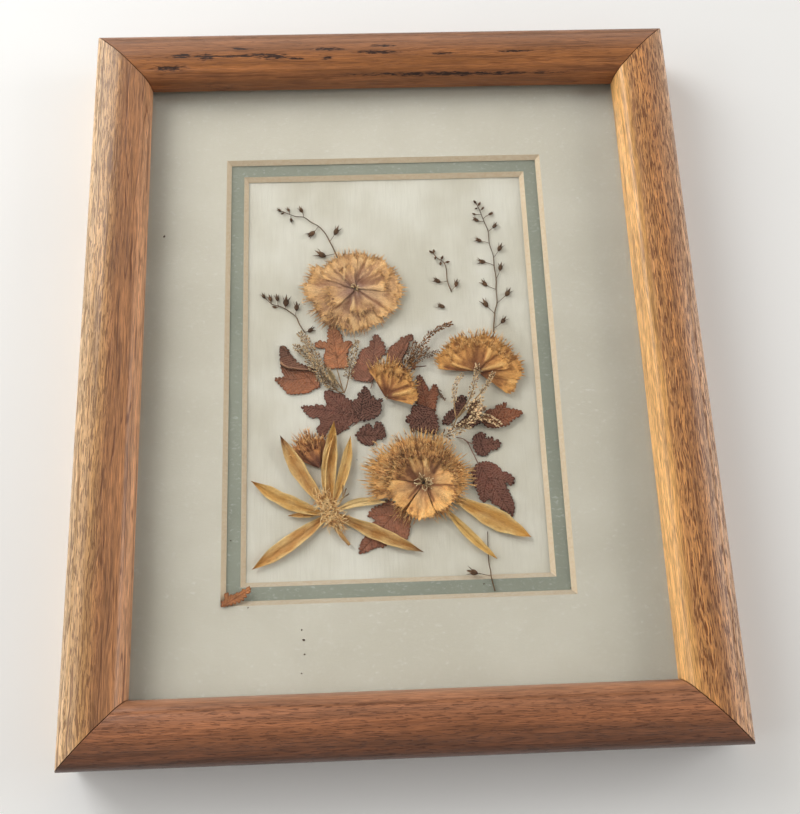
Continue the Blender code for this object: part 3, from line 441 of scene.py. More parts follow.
def on_sheet(points):
    """From picture places and heights to the frame's own."""
    return np.asarray(points) + np.array((*WINDOW, SHEET_FACE))


def press(name, shapes, finish, slot, node=None):
    """One pressed piece from its shapes, in place of the solid that stands for it."""
    points, faces, marks = joined(shapes)
    piece("pressed_" + name, on_sheet(points), faces, finish, slot, [node or name], **marks)


def leaf_finish(name, vein, rib_share):
    """Dry leaf: its own tint, a net of paler veins, a mottled skin and a slightly scorched edge."""
    made = Finish(name, 0.7, Specular_IOR_Level=0.12)
    tint = made.mark("tint", "Color")
    skin, patch = made.mottle(0.75, detail=5.0, rough=0.7), made.mottle(3.4, detail=3.0)
    cells = made.node("TexVoronoi", {"feature": "DISTANCE_TO_EDGE"},
                      {"Vector": made.places(1.2), "Scale": 1.0, "Randomness": 0.9})
    dark = made.times(tint, (0.34, 0.28, 0.28))
    colour = made.mix(made.between(skin, 0.42, 0.68, 0.0, 0.75), tint, dark)
    colour = made.mix(made.between(patch, 0.48, 0.72, 0.0, 0.5), colour,
                      made.times(tint, (1.7, 1.5, 1.4)))
    wave = made.sums("COSINE", made.sums("MULTIPLY", made.mark("fan"), 2 * math.pi / RIB_PITCH))
    ribs = made.between(wave, -0.1, 0.95, 0.0, rib_share)
    net = made.between(cells, 0.14, 0.0, 0.0, rib_share)
    colour = made.mix(made.sums("MAXIMUM", ribs, net), colour, vein)
    colour = made.mix(made.between(made.mark("rib"), 0.3, 0.08, 0.0, 0.6), colour, dark)
    colour = made.mix(made.between(made.mark("edge"), 0.5, 0.0, 0.0, 0.6), colour, dark)
    height = made.sums("ADD", made.sums("MULTIPLY", skin, 0.8), made.sums("MULTIPLY", ribs, 0.8))
    return made.paint(colour, made.relief(height, 0.24))


LEAF_FINISHES = {"russet_leaf": leaf_finish("russet_leaf", rgb(192, 144, 112), 0.34),
                 "mauve_leaf": leaf_finish("mauve_leaf", rgb(176, 132, 110), 0.38),
                 "dark_leaf": leaf_finish("dark_leaf", rgb(160, 116, 98), 0.48)}
# slot, then for each blade: base of its midrib, two colours, and the places they belong to
LEAVES = {
    "leaf_folded_left": ("mauve_leaf", [
        ((-28.4, -8.0), ((94, 58, 41), (167, 105, 70)), ((-38, 3), (-36, -6)))]),
    "leaf_russet_top": ("russet_leaf", [
        ((-20.5, 0.3), ((147, 92, 63), (178, 117, 79)), ((-22, 17), (-21, 4)))]),
    "leaf_mauve_middle": ("mauve_leaf", [
        ((-8.0, -5.5), ((104, 64, 52), (144, 94, 74)), ((-3, 10), (-10, 3)))]),
    "leaf_purple_upright": ("mauve_leaf", [
        ((1.0, 0.8), ((113, 70, 53), (133, 84, 60)), ((8, 12), (1, 3)))]),
    "leaf_dark_left": ("dark_leaf", [
        ((-12.6, -19.0), ((114, 70, 57), (96, 58, 47)), ((-33, -16), (-14, -20)))]),
    "leaf_dark_centre": ("dark_leaf", [
        ((-12.8, -20.5), ((60, 35, 29), (72, 44, 37)), ((-6, -14), (-14, -18)))]),
    "leaf_dark_low": ("dark_leaf", [
        ((-13.9, -27.0), ((85, 51, 41), (74, 43, 35)), ((-14, -27), (-4, -26)))]),
    "leaf_red_pointed": ("russet_leaf", [
        ((13.0, -16.6), ((94, 47, 33), (128, 68, 42)), ((10, -8), (17, -12)))]),
    "leaf_black_lobed": ("dark_leaf", [
        ((15.5, -18.8), ((68, 37, 28), (79, 43, 32)), ((6, -24), (16, -19)))]),
    "leaf_black_two_lobed": ("dark_leaf", [
        ((19.4, -23.0), ((69, 40, 31), (58, 32, 26)), ((20, -23), (27, -13)))]),
    "leaf_behind_spikes": ("dark_leaf", [
        ((24.0, -24.8), ((66, 37, 29), (76, 41, 31)), ((24, -25), (32, -16)))]),
    "leaf_red_right": ("russet_leaf", [
        ((34.6, -24.2), ((95, 48, 33), (133, 72, 44)), ((36, -23), (47, -19)))]),
    "leaf_pair_right": ("dark_leaf", [
        ((31.0, -32.0), ((79, 44, 36), (89, 52, 41)), ((31, -32), (40, -31))),
        ((32.2, -40.6), ((109, 64, 51), (92, 53, 43)), ((32, -42), (43, -58)))]),
    "leaf_mauve_low": ("mauve_leaf", [
        ((1.0, -55.5), ((159, 102, 73), (142, 88, 66)), ((2, -58), (-13, -70)))]),
    "leaf_scrap_on_mat": ("russet_leaf", [
        ((-63.0, -89.0), ((159, 100, 62), (187, 124, 74)), ((-62, -88), (-54, -83)))]),
}
STALKS = {
    "leaf_mauve_middle": [[(-7.6, -3.5), (-7.6, -6.5), (-8.2, -8.6)]],
    "leaf_dark_centre": [[(-12.0, -20.0), (-13.8, -22.3), (-15.6, -23.6)]],
    "leaf_pair_right": [[(23.6, -28.9), (27.2, -30.3), (29.5, -35.0), (32.2, -41.6)],
                        [(26.7, -30.1), (28.8, -31.4), (31.6, -32.0)]],
}
STALK_RADIUS = 0.17
# narrow bays between lobes, as (x, y, depth, half width)
BAYS = {
    "leaf_dark_centre": ((-4.4, -15.2, 2.6, 1.0), (-11.2, -15.4, 2.0, 0.9), (-2.2, -20.6, 1.8, 1.0)),
    "leaf_dark_left": ((-27.0, -14.0, 1.6, 1.2), (-29.5, -21.0, 1.8, 1.2), (-20.0, -13.0, 1.2, 0.9)),
    "leaf_mauve_middle": ((-7.5, 4.6, 1.8, 1.0), (-3.0, 4.0, 1.2, 0.8)),
    "leaf_red_right": ((41.5, -16.6, 1.2, 0.9), (38.0, -17.4, 0.9, 0.8)),
    "leaf_black_lobed": ((8.4, -18.2, 1.8, 0.9), (6.0, -23.0, 1.4, 0.9)),
    "leaf_pair_right": ((42.0, -48.0, 1.6, 1.0), (36.4, -29.4, 1.2, 0.7), (40.6, -41.4, 1.2, 0.9)),
    "leaf_mauve_low": ((-10.8, -62.0, 1.6, 1.0),),
    "leaf_russet_top": ((-24.6, 9.4, 1.0, 0.8), (-16.8, 9.4, 1.0, 0.8)),
}
# the folded leaf's upper flap, and the curled rim of it that shows its paler underside
FLAP = [(-42.9, 8.7), (-40.6, 7.5), (-38.4, 5.0), (-36.2, 2.6), (-33.0, 1.3), (-29.3, -0.2),
        (-30.7, -0.9), (-33.9, -0.7), (-37.1, -0.2), (-39.7, 0.1), (-41.9, 1.2), (-42.8, 2.4)]
CURLED_RIM = [(-42.6, 2.9), (-41.6, 1.6), (-39.5, 0.5), (-37.1, 0.1), (-33.9, -0.4), (-30.7, -0.6)]
for seed, (name, (slot, blades)) in enumerate(LEAVES.items()):
    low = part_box(name)[0].z / MM - SHEET_FACE
    shapes = []
    for ring in top_rims(name):
        middle = np.mean(ring, 0)
        base, colours, run = min(blades, key=lambda b: np.linalg.norm(np.array(b[0]) - middle))
        shapes.append(blade(ring, base, low + 0.05, colours, run, seed * 7.3,
                            cuts=BAYS.get(name, ())))
    if name == "leaf_folded_left":
        shapes.append(blade(FLAP[::-1], (-29.5, -0.4), low + 0.6, ((92, 60, 46), (118, 80, 60)),
                            ((-42, 5), (-31, 0)), 4.4))
        shapes.append(stem([(x, y, low + 1.0) for x, y in CURLED_RIM], 0.4, 0.3,
                           ((170, 134, 98), (134, 92, 66)), seed=6.1))
    for path in STALKS.get(name, []):
        shapes.append(stem([(x, y, low + 0.2) for x, y in path], STALK_RADIUS, STALK_RADIUS,
                           ((92, 66, 58), (104, 76, 64)), seed=seed))
    press(name, shapes, LEAF_FINISHES[slot], slot)

# === sprigs =====================================================================================
# Thin dark stems with small seed cups.  Each cup is a pressed goblet with four points at its
# mouth, on a short stalk of its own, and the buds towards the tip have not opened.
SPRIG_HEIGHT = 0.55
SPRIG_TONES = ((90, 68, 50), (122, 98, 70))
CUP_TONES = ((70, 48, 34), (122, 94, 68))
OPEN_CUP = 1.9                   # a cup this long or longer has opened


def tube_faces(rings, sides):
    """Faces round a row of rings with so many sides, and a cap at both ends."""
    faces = [(r * sides + k, (r + 1) * sides + k, (r + 1) * sides + (k + 1) % sides,
              r * sides + (k + 1) % sides) for r in range(rings - 1) for k in range(sides)]
    return faces + [tuple(range(sides)), tuple((rings - 1) * sides + k for k in range(sides))[::-1]]


def turned(axis_start, axis_end, rings, sides, flat=1.0):
    """Points of a shape turned round an axis, from (share of its length, radius) rings."""
    start, end = np.array(axis_start, float), np.array(axis_end, float)
    run = end - start
    length = np.linalg.norm(run)
    side = np.cross(run, (0, 0, 1))
    side /= np.linalg.norm(side)
    over = np.cross(side, run) / length
    points = []
    for ring in rings:
        for k in range(sides):
            share, radius = ring[k % len(ring)] if isinstance(ring[0], tuple) else ring
            turn = 2 * math.pi * k / sides
            points.append(start + run * share + length * radius
                          * (side * math.cos(turn) + over * math.sin(turn) * flat))
    return np.array(points), [f[::-1] for f in tube_faces(len(rings), sides)]


def seed_cup(base, tip, height, chance):
    """A seed cup: a rounded body, and a mouth of four points that lean outwards or are still shut."""
    mouth = ((1.1, 0.44), (0.6, 0.2))
    if math.dist(base, tip) < OPEN_CUP:
        mouth = ((0.95, 0.10), (0.92, 0.08))
    rings = [(0.0, 0.05), (0.12, 0.16), (0.3, 0.26), (0.45, 0.27), (0.58, 0.24), mouth,
             (0.5, 0.12), (0.45, 0.02)]
    lift = chance.uniform(-0.05, 0.35)
    points, faces = turned((*base, height), (*tip, height + lift), rings, 8, flat=0.75)
    # the inside of the mouth is painted darkest, as shade
    depth = np.repeat([0.1, 0.2, 0.5, 0.3, 0.3, 1.0, 0.0, 0.0], 8) + chance.uniform(-0.2, 0.2)
    return points, faces, plain_marks(points, tones(CUP_TONES, depth))


def sprig_shapes(path, cups, height, seed):
    """A sprig's stem and its seed cups, most of them on a stalk of their own."""
    chance = random.Random(seed)
    path = [(*place, height) if len(place) == 2 else place for place in path]
    shapes = [stem(path, 0.15, 0.24, SPRIG_TONES, seed=seed)]
    for root, base, tip in cups:
        inner = (base[0] * 0.8 + tip[0] * 0.2, base[1] * 0.8 + tip[1] * 0.2)
        bend = ((root[0] + base[0]) / 2 + chance.uniform(-0.12, 0.12),
                (root[1] + base[1]) / 2 + chance.uniform(-0.12, 0.12))
        if math.dist(root, inner) > 0.3:
            shapes.append(stem([(*root, height), (*bend, height + 0.1), (*inner, height)],
                               0.11, 0.13, SPRIG_TONES, sides=5, seed=seed))
        shapes.append(seed_cup(base, tip, height, chance))
    return shapes


stem_finish = leaf_finish("dry_stem", rgb(130, 106, 80), 0.0)
# the stem from its tip down, and the cups as (where its stalk leaves the stem, its foot, its mouth)
SPRIGS = {
    "sprig_top_left": (
        [(-43.0, 68.0), (-40.7, 66.9), (-36.6, 65.1), (-33.2, 64.6), (-30.2, 62.3), (-27.3, 60.4),
         (-24.7, 57.2), (-22.9, 53.5), (-21.5, 50.4), (-20.0, 46.5)],
        [((-42.4, 67.7), (-42.3, 67.4), (-43.9, 68.6)), ((-41.2, 67.2), (-41.2, 66.9), (-42.4, 66.0)),
         ((-39.0, 66.2), (-39.0, 67.2), (-39.9, 69.0)), ((-38.2, 65.8), (-38.5, 64.4), (-38.0, 62.3)),
         ((-33.3, 64.7), (-33.7, 66.7), (-35.0, 69.2)), ((-27.3, 60.3), (-28.8, 58.2), (-31.8, 55.8)),
         ((-22.9, 53.6), (-21.0, 56.5), (-19.2, 59.9)), ((-20.6, 48.3), (-24.6, 47.0), (-28.6, 49.0))]),
    "sprig_left": (
        [(-49.0, 30.2), (-45.9, 27.1), (-43.3, 26.3), (-40.8, 25.0), (-36.8, 21.8), (-35.4, 18.6),
         (-33.1, 14.7)],
        [((-48.3, 29.4), (-48.8, 29.6), (-49.9, 31.8)), ((-46.4, 27.6), (-46.3, 28.3), (-47.2, 31.0)),
         ((-43.6, 26.4), (-43.7, 28.4), (-44.3, 31.2)), ((-43.3, 26.3), (-44.2, 25.6), (-46.0, 26.2)),
         ((-40.8, 25.0), (-40.7, 26.0), (-40.2, 30.3)), ((-36.7, 21.6), (-36.5, 24.1), (-36.2, 27.6)),
         ((-33.4, 15.2), (-32.2, 15.2), (-29.4, 16.8))]),
    "sprig_right": (
        [(36.9, 69.4), (38.2, 66.1), (38.8, 64.0), (39.8, 60.7), (41.1, 56.4), (41.3, 50.9),
         (42.5, 45.8), (42.6, 40.7), (43.0, 35.7), (42.7, 31.2), (42.7, 25.5), (41.5, 21.0),
         (40.5, 13.0)],
        [((37.1, 68.9), (37.0, 69.0), (36.0, 70.6)), ((37.6, 67.6), (37.8, 68.0), (38.8, 69.6)),
         ((37.8, 67.1), (37.4, 67.0), (36.2, 66.4)), ((38.3, 65.7), (39.0, 66.2), (40.2, 67.4)),
         ((38.8, 64.0), (36.6, 64.0), (35.0, 64.6)), ((39.7, 61.0), (37.6, 61.0), (35.2, 62.5)),
         ((39.4, 62.0), (41.7, 63.8), (43.7, 64.7)), ((41.1, 56.4), (43.1, 57.8), (44.8, 60.0)),
         ((41.3, 51.1), (38.3, 52.0), (35.5, 53.2)), ((42.7, 44.9), (44.7, 47.6), (46.2, 50.6)),
         ((42.6, 41.3), (39.3, 42.9), (35.8, 43.5)), ((43.0, 35.7), (44.7, 39.0), (45.5, 42.2)),
         ((42.7, 31.0), (39.2, 32.5), (37.0, 35.0)), ((42.7, 25.2), (46.3, 28.0), (48.3, 31.0)),
         ((41.6, 20.6), (38.9, 23.5), (37.0, 26.8)), ((40.8, 14.6), (43.8, 16.6), (45.8, 19.2))]),
    "sprig_small": (
        [(17.9, 48.0), (20.0, 45.2), (22.4, 43.4), (23.3, 40.4), (23.5, 35.2), (24.9, 30.5)],
        [((18.2, 47.6), (18.2, 47.4), (16.8, 48.6)), ((18.4, 47.3), (18.6, 47.4), (18.8, 49.2)),
         ((19.2, 46.3), (19.4, 46.0), (19.0, 44.4)), ((21.2, 44.3), (21.5, 44.5), (22.3, 46.2)),
         ((21.6, 44.0), (21.4, 43.6), (20.9, 41.9)), ((22.6, 43.0), (23.2, 43.3), (25.0, 43.4)),
         ((23.5, 35.2), (20.8, 34.6), (17.9, 36.2)), ((24.7, 31.1), (26.7, 32.6), (27.4, 35.6))]),
}
for seed, (name, (path, cups)) in enumerate(SPRIGS.items()):
    press(name, sprig_shapes(path, cups, SPRIG_HEIGHT, seed), stem_finish, "dry_stem")

loose_cup = seed_cup((22.0, 23.9), (19.0, 25.1), SPRIG_HEIGHT, random.Random(5))
press("loose_cup", [loose_cup], stem_finish, "dry_stem", "loose_seed_cup")

# a broken twig that slipped down: from the sheet it climbs over the edge of the inner mat
TWIG = [(33.3, -65.1, 0.5), (33.1, -70.1, 0.5), (33.0, -74.8, 0.5), (33.1, -77.5, 0.8),
        (33.3, -79.8, 2.4), (33.4, -82.1, 2.4), (34.4, -87.0, 2.4)]
TWIG_CUPS = [((33.3, -81.6), (28.6, -80.5), (24.8, -79.3))]
press("loose_twig", sprig_shapes(TWIG, TWIG_CUPS, 2.4, 8), stem_finish, "dry_stem")

# === feathery sprays ============================================================================
# Wiry stems crowded with tiny dry florets that lean towards the tip.  The right-hand spray is the
# palest and lies over its neighbours.


def floret(root, heading, size, tint, chance):
    """One tiny floret: a plump bead with a pointed end, dark at its foot and paler at its tip."""
    tip = root + size * np.array((math.cos(heading), math.sin(heading), chance.uniform(-0.2, 0.5)))
    rings = [(0.0, 0.08), (0.22, 0.24), (0.5, 0.33), (0.8, 0.2), (1.05, 0.02)]
    points, faces = turned(root, tip, rings, 5)
    share = np.repeat([-0.2, 0.3, 0.8, 1.0, 0.6], 5) + chance.choice((-0.7, -0.2, 0.1, 0.2, 0.3))
    return points, faces, plain_marks(points, tones(tint, share))


def spike(path, half_width, size, apart, low, tint, wood, chance):
    """A stem with florets all round it, on hair-thin stalks, closer in towards its tip."""
    line = smooth_path([(*place, low + 0.45) for place in path], 0.2)
    shapes = [stem(line[::4], 0.16, 0.1, wood, sides=5, seed=chance.random())]
    gone, due = 0.0, 0.0
    total = sum(np.linalg.norm(b - a) for a, b in zip(line, line[1:]))
    for here, after in zip(line, line[1:]):
        gone += np.linalg.norm(after - here)
        share = gone / total
        if gone < due:
            continue
        due += apart * (1 - 0.3 * share)
        heading = math.atan2(after[1] - here[1], after[0] - here[0])
        for side in (-1, 1, chance.choice((-0.6, 0.0, 0.6))):
            lean = heading + side * chance.uniform(0.85, 1.4)
            reach = half_width * (1.0 - 0.6 * share ** 2) * chance.uniform(0.2, 0.85)
            root = here + reach * np.array((math.cos(lean), math.sin(lean), 0.15))
            if reach > 0.8:
                shapes.append(stem([here, root], 0.07, 0.06, wood, sides=3))
            shapes.append(floret(root, lean - 0.25 * side, size * chance.uniform(0.7, 1.15), tint, chance))
    return shapes


# florets from foot to tip, then the stems
GREY_BROWN = (((112, 86, 60), (208, 182, 142)), ((132, 106, 78), (168, 142, 106)))
BROWN = (((78, 50, 32), (152, 108, 66)), ((80, 54, 36), (104, 74, 48)))
STRAW = (((112, 76, 48), (236, 208, 164)), ((152, 122, 82), (192, 162, 116)))
UMBER = (((84, 62, 48), (132, 104, 80)), ((80, 60, 48), (104, 80, 64)))
# lowest height, tones, bare stems, and spikes as (path, half width, size of a floret, how far apart)
SPRAYS = {
    "spray_left": (1.0, GREY_BROWN, [
        [(-18.6, -10.4), (-21.7, -8.9), (-27.2, -1.8)], [(-21.0, -9.0), (-24.6, -7.7), (-29.2, 0.2)],
        [(-18.6, -10.4), (-17.6, -8.4), (-16.1, -2.0)], [(-18.6, -10.4), (-19.7, -6.0), (-20.9, -0.9)],
        [(-18.4, -10.2), (-21.6, -5.0), (-26.0, 1.4)]],
        [([(-22.6, -7.8), (-27.0, -2.1), (-30.4, 6.5), (-33.3, 11.7), (-35.2, 14.2)], 3.0, 0.85, 0.45),
         ([(-25.6, -6.2), (-29.0, -0.2), (-32.9, 5.7), (-37.0, 9.0)], 2.8, 0.85, 0.45),
         ([(-16.9, -4.8), (-15.6, 1.2), (-14.7, 4.3), (-13.0, 10.4)], 2.0, 0.8, 0.5),
         ([(-21.3, -8.6), (-21.9, -6.9), (-23.2, -3.5), (-24.3, -0.4)], 1.1, 0.7, 0.4)]),
    "spray_middle": (1.0, BROWN, [
        [(6.2, -0.2), (8.6, 3.6), (10.0, 5.7)], [(6.4, -0.2), (9.8, -0.6), (13.5, -0.4)]],
        [([(7.0, 1.2), (10.0, 5.7), (13.6, 10.1), (17.7, 14.0), (24.2, 16.9)], 1.2, 0.95, 0.85),
         ([(6.6, 0.2), (7.6, 4.4), (9.8, 9.3)], 1.9, 0.75, 0.55),
         ([(7.2, 0.6), (10.8, 4.0), (14.8, 7.3)], 1.8, 0.75, 0.6),
         ([(7.2, 0.2), (12.2, 2.8), (18.5, 5.4)], 1.5, 0.7, 0.9),
         ([(3.6, 0.4), (5.4, 1.7), (7.9, 0.5), (9.2, -1.0)], 0.9, 0.7, 0.5)]),
    "spray_right": (2.75, STRAW, [
        [(22.2, -26.3), (24.5, -21.4), (29.4, -14.5), (31.4, -8.8)],
        [(24.5, -21.8), (31.0, -15.2), (35.5, -10.4), (38.7, -5.4)],
        [(23.9, -22.6), (23.3, -18.0), (23.5, -12.4)]],
        [([(29.2, -14.6), (30.9, -10.2), (32.4, -4.6), (33.2, -0.6)], 1.4, 0.85, 0.62),
         ([(33.6, -12.6), (36.4, -8.8), (39.2, -4.4)], 1.0, 0.8, 0.66),
         ([(23.4, -16.2), (23.6, -11.6), (24.6, -7.9), (27.2, -4.9)], 1.2, 0.8, 0.75),
         ([(18.8, -28.9), (24.3, -26.4), (28.8, -23.7), (34.0, -18.1)], 2.5, 1.15, 0.68),
         ([(28.0, -20.2), (30.9, -17.4), (33.6, -15.0)], 2.4, 1.1, 0.68),
         ([(30.6, -22.0), (33.4, -21.9), (36.4, -23.0), (40.0, -25.4)], 1.6, 1.0, 0.62)]),
    "twig_dark_small": (1.0, UMBER, [[(17.3, -9.9), (18.8, -13.0), (20.3, -14.4)]],
                        [([(17.5, -10.2), (18.8, -13.0), (20.1, -14.2)], 0.8, 0.6, 0.5)]),
}
# a curled husk at the foot of the middle spray, and a flat pod in the left one
HUSK = [(4.0, 1.8, 1.6), (3.8, 0.4, 1.8), (4.8, -1.0, 2.0), (6.4, -1.9, 1.8), (8.0, -1.4, 1.6),
        (8.6, -0.4, 1.5)]
POD_RINGS = [(0.0, 0.02), (0.12, 0.1), (0.35, 0.2), (0.6, 0.22), (0.85, 0.14), (1.0, 0.03)]
spike_finish = leaf_finish("pale_spike", rgb(214, 184, 138), 0.0)
for seed, (name, (low, (tint, wood), stems, spikes)) in enumerate(SPRAYS.items()):
    chance = random.Random(40 + seed)
    shapes = [stem([(x, y, low + 0.25) for x, y in path], 0.26, 0.2, wood, seed=seed) for path in stems]
    for spike_sizes in spikes:
        shapes += spike(*spike_sizes, low, tint, wood, chance)
    if name == "spray_middle":
        shapes.append(stem(HUSK, 0.62, 0.34, ((86, 54, 48), (112, 74, 60)), seed=2.2))
    if name == "spray_left":
        pod, pod_faces = turned((-24.3, -1.1, 1.7), (-21.9, -6.4, 1.5), POD_RINGS, 10, flat=0.5)
        off_keel = np.abs(pod[:, 0] + 23.1 + 0.45 * (pod[:, 1] + 3.8))
        pod_tint = tones(((112, 92, 62), (206, 184, 142)), off_keel - 0.3)
        shapes.append((pod, pod_faces, plain_marks(pod, pod_tint)))
    press(name, shapes, spike_finish, "dry_stem" if name.startswith("twig") else "pale_spike")

# === fringed flowers ============================================================================
# Garden pinks, pressed whole.  Each petal is a crumpled fan cut into a fringe at its edge; they
# have dried golden brown and are paler where the fringe is thin, with painted shade in their folds
# and painted highlight on their ridges.
PETAL_STEP = 0.24                # a petal that lies over another is this much higher
FINGER_PITCH = 0.5
BODY_ROWS, FRINGE_ROWS = 25, 4
PETAL_TOP, THREAD_TOP = 4.3, 4.55          # nothing rises above these, as the glass lies on top


def rough_line(values, seed, scale=1.0):
    """Smooth ups and downs along one line of values."""
    return np.array([ripple(value * scale, seed, seed * 0.37) for value in values])


def fan_petal(centre, petal, low, seed, colours, strokes):
    """One petal: a crumpled fan, its far edge cut into long and short fingers."""
    heading, reach, spread, level, fringe, *dim = petal
    chance = random.Random(seed)
    fan = math.radians(spread * 1.18)
    fingers = max(5, round(fan * reach / FINGER_PITCH))
    side = np.linspace(-1, 1, 2 * fingers + 1)
    odd = np.arange(len(side)) % 2 == 1
    lobe = (1 - 0.10 * np.abs(side) ** 2.5 + 0.07 * rough_line(side, seed, 1.7)
            + 0.05 * rough_line(side, seed, 5))
    ends = np.where(odd, [chance.uniform(0.9, 1.04) for _ in side],
                    [1 - fringe * chance.uniform(0.55, 1.35) for _ in side])
    in_tooth = np.arange(len(side)) // 2 % 3 - 1      # three fingers lean together in each tooth
    ends += np.where(odd, np.where(in_tooth == 0, 0.14 * fringe, -0.45 * fringe), -0.3 * fringe)
    sway = np.where(odd, [chance.uniform(-0.5, 0.5) for _ in side] - 1.1 * in_tooth, 0)
    sway = sway * fan / (2 * fingers)
    curl = np.where(odd, [chance.uniform(-0.1, 0.55) for _ in side], 0)
    body = 1 - 1.25 * fringe
    steps = list(np.linspace(0.04, body, BODY_ROWS)) + [None] * FRINGE_ROWS
    creases = chance.uniform(2.2, 3.6), chance.uniform(6, 9), chance.uniform(0, 6)
    middle, half, rim, fold_shade, light = (np.array(rgb(*c)) for c in colours)
    points, tints, places = [], [], []
    for k, step in enumerate(steps):
        late = 0 if step is not None else (k - BODY_ROWS + 1) / FRINGE_ROWS
        share = np.full(len(side), step) if step is not None else body + (ends - body) * late
        bend = 0.05 * rough_line(share * 3 + side, seed + 5)
        angle = math.radians(heading) + fan / 2 * side + sway * late ** 1.5 + bend
        distance = reach * lobe * share
        spot = np.column_stack([distance * np.cos(angle), distance * np.sin(angle)])
        broad, small, tiny = (waves(spot, size, seed + more)
                              for size, more in ((3.4, 0), (1.1, 3), (0.5, 6)))
        pleat = (0.5 * np.sin(side * creases[0] * 2 + creases[2])
                 + 0.5 * np.sin(side * creases[1] + 2 * broad))
        fold_depth = (np.clip(share * 1.4, 0, 1)
                      * (0.75 * pleat + 0.9 * broad + 0.6 * small + 0.45 * tiny))
        mark = np.zeros(len(side))
        for x0, y0, x1, y1, width, strength in strokes:
            gap = to_line(spot, np.array([(x0, y0), (x1, y1)]))[0]
            mark += strength * np.exp(-(gap / width) ** 2)
        z = (low + level * PETAL_STEP + 0.15 + 0.26 * fold_depth - 0.25 * np.clip(mark, -0.8, 0.8)
             + 0.3 * share ** 3 + curl * late)
        points.append(np.column_stack([spot + centre, np.clip(z, low - 0.1, PETAL_TOP)]))
        tint = shade(middle, half, (share - 0.14) / 0.42 + 0.35 * broad)
        # the folds, the pressed-in strokes and the fringe's gaps are painted dark as shade, and the ridges
        # are painted pale as highlight; the fingers grow paler towards their tips
        for tone, part in (
                (rim, np.clip((share - 0.52 + 0.25 * broad) / 0.36, 0, 1)),
                (fold_shade, np.clip(-0.85 * fold_depth - 0.1, 0, 0.7)),
                (fold_shade, np.clip(mark, 0, 0.95)),
                (light, np.clip(-mark + 0.5 * np.clip(fold_depth, 0, 1), 0, 0.9)),
                (fold_shade, np.where(odd, 0.0, 0.6) * (late > 0) * (1 - 0.4 * late)),
                (light, np.where(odd, 0.6, 0) * late)):
            tint = tint + (tone - tint) * part[:, None]
        tints.append(tint * (dim or [1.0])[0])
        places.append(np.column_stack([side * reach * 0.4, distance, np.full(len(side), seed * 3.0)]))
    upper = np.vstack(points)
    faces = [f[::-1] for f in grid_faces(len(steps), len(side))]
    points, faces = two_sided(upper, upper - (0, 0, 0.07), faces)
    return points, faces, petal_marks(tints, places)


def petal_marks(tints, places):
    """What a petal's finish reads, for both of its skins: its tint and the place along it."""
    return {"tint": np.tile(np.vstack(tints), (2, 1)), "along": np.tile(np.vstack(places), (2, 1))}


def toward(turn):
    """One millimetre in a direction."""
    return np.array((math.cos(turn), math.sin(turn)))


def filament(path, start, end, colours, seed):
    """A thread in a petal's finish, pressed flat where it would reach the glass."""
    points, faces, marks = stem(path, start, end, colours, sides=5, seed=seed)
    points[:, 2] = np.minimum(points[:, 2], THREAD_TOP)
    return points, faces, {"tint": marks["tint"], "along": points}


LIT = (255, 212, 144)


def frayed(centre, petal, low, seed, colours, dense, thick):
    """The loose threads of one petal's fringe, each curling its own way."""
    heading, reach, spread, level, fringe, *dim = petal
    chance = random.Random(seed + 0.5)
    shapes = []
    for k in range(int(fringe * dense * reach * math.radians(spread))):
        turn = math.radians(heading + spread * 0.52 * chance.uniform(-1, 1))
        near = reach * (0.96 - fringe * chance.uniform(0.3, 1.6))
        long = reach * (0.03 + fringe * chance.uniform(0.12, 0.5))
        root = np.array(centre) + near * toward(turn)
        turn += chance.uniform(-0.5, 0.5)
        mid = root + 0.55 * long * toward(turn)
        turn += chance.uniform(-0.9, 0.9)
        end = mid + 0.5 * long * toward(turn)
        rise = low + level * PETAL_STEP + 0.75
        path = [(*root, rise - 0.3), (*mid, rise + 0.2), (*end, rise + chance.uniform(-0.2, 0.4))]
        ends = chance.choice(((colours[3], colours[4]), (colours[1], LIT), (colours[2], LIT),
                              (colours[2], LIT)))
        # near the middle, and mostly on a dim petal, they start in the dark tone painted in the folds as
        # shade
        if near < 10 or dim and chance.random() < 0.7:
            ends = (colours[3], colours[1])
        shapes.append(filament(path, thick, thick * 0.5, ends, k))
    return shapes


def tuft(centre, radius, low, high, pale, seed, count):
    """Curled stamens, pale and dark in turn, over the place where the petals meet."""
    chance = random.Random(seed)
    shapes = []
    for k in range(count):
        turn = chance.uniform(0, 2 * math.pi)
        ends = pale if k % 2 else ((96, 74, 50), (170, 138, 92))
        reach = radius * chance.uniform(0.35, 1.1)
        curl = turn + chance.uniform(-1.4, 1.4)
        near = np.array(centre) + 0.2 * radius * toward(turn)
        mid = np.array(centre) + 0.65 * reach * toward(turn)
        far = mid + 0.5 * reach * toward(curl)
        path = [(*near, low), (*mid, high * chance.uniform(0.8, 1.0)),
                (*far, high * chance.uniform(0.7, 0.95))]
        shapes.append(filament(path, 0.17, 0.12, ends, k))
    return shapes


def petal_finish(name, roughness=0.65):
    """Dry petal: its own tint, fine streaks that run out from the middle, and a papery skin."""
    made = Finish(name, roughness, Specular_IOR_Level=0.25)
    tint = made.mark("tint", "Color")
    along = made.node("Mapping", {}, {"Vector": made.mark("along", "Vector"), "Scale": (3.2, 0.4, 1.0)})
    streak = made.mottle(along, detail=4.0, rough=0.65)
    skin = made.mottle(0.7, detail=5.0, rough=0.7)
    colour = tint
    for where, low, high, most, by in ((streak, 0.45, 0.68, 0.55, (0.55, 0.42, 0.33)),
                                       (skin, 0.5, 0.72, 0.6, (1.35, 1.33, 1.3)),
                                       (skin, 0.46, 0.3, 0.5, (0.6, 0.46, 0.38))):
        colour = made.mix(made.between(where, low, high, 0.0, most), colour, made.times(tint, by))
    return made.paint(colour, made.relief(made.sums("ADD", streak, skin), 0.3))


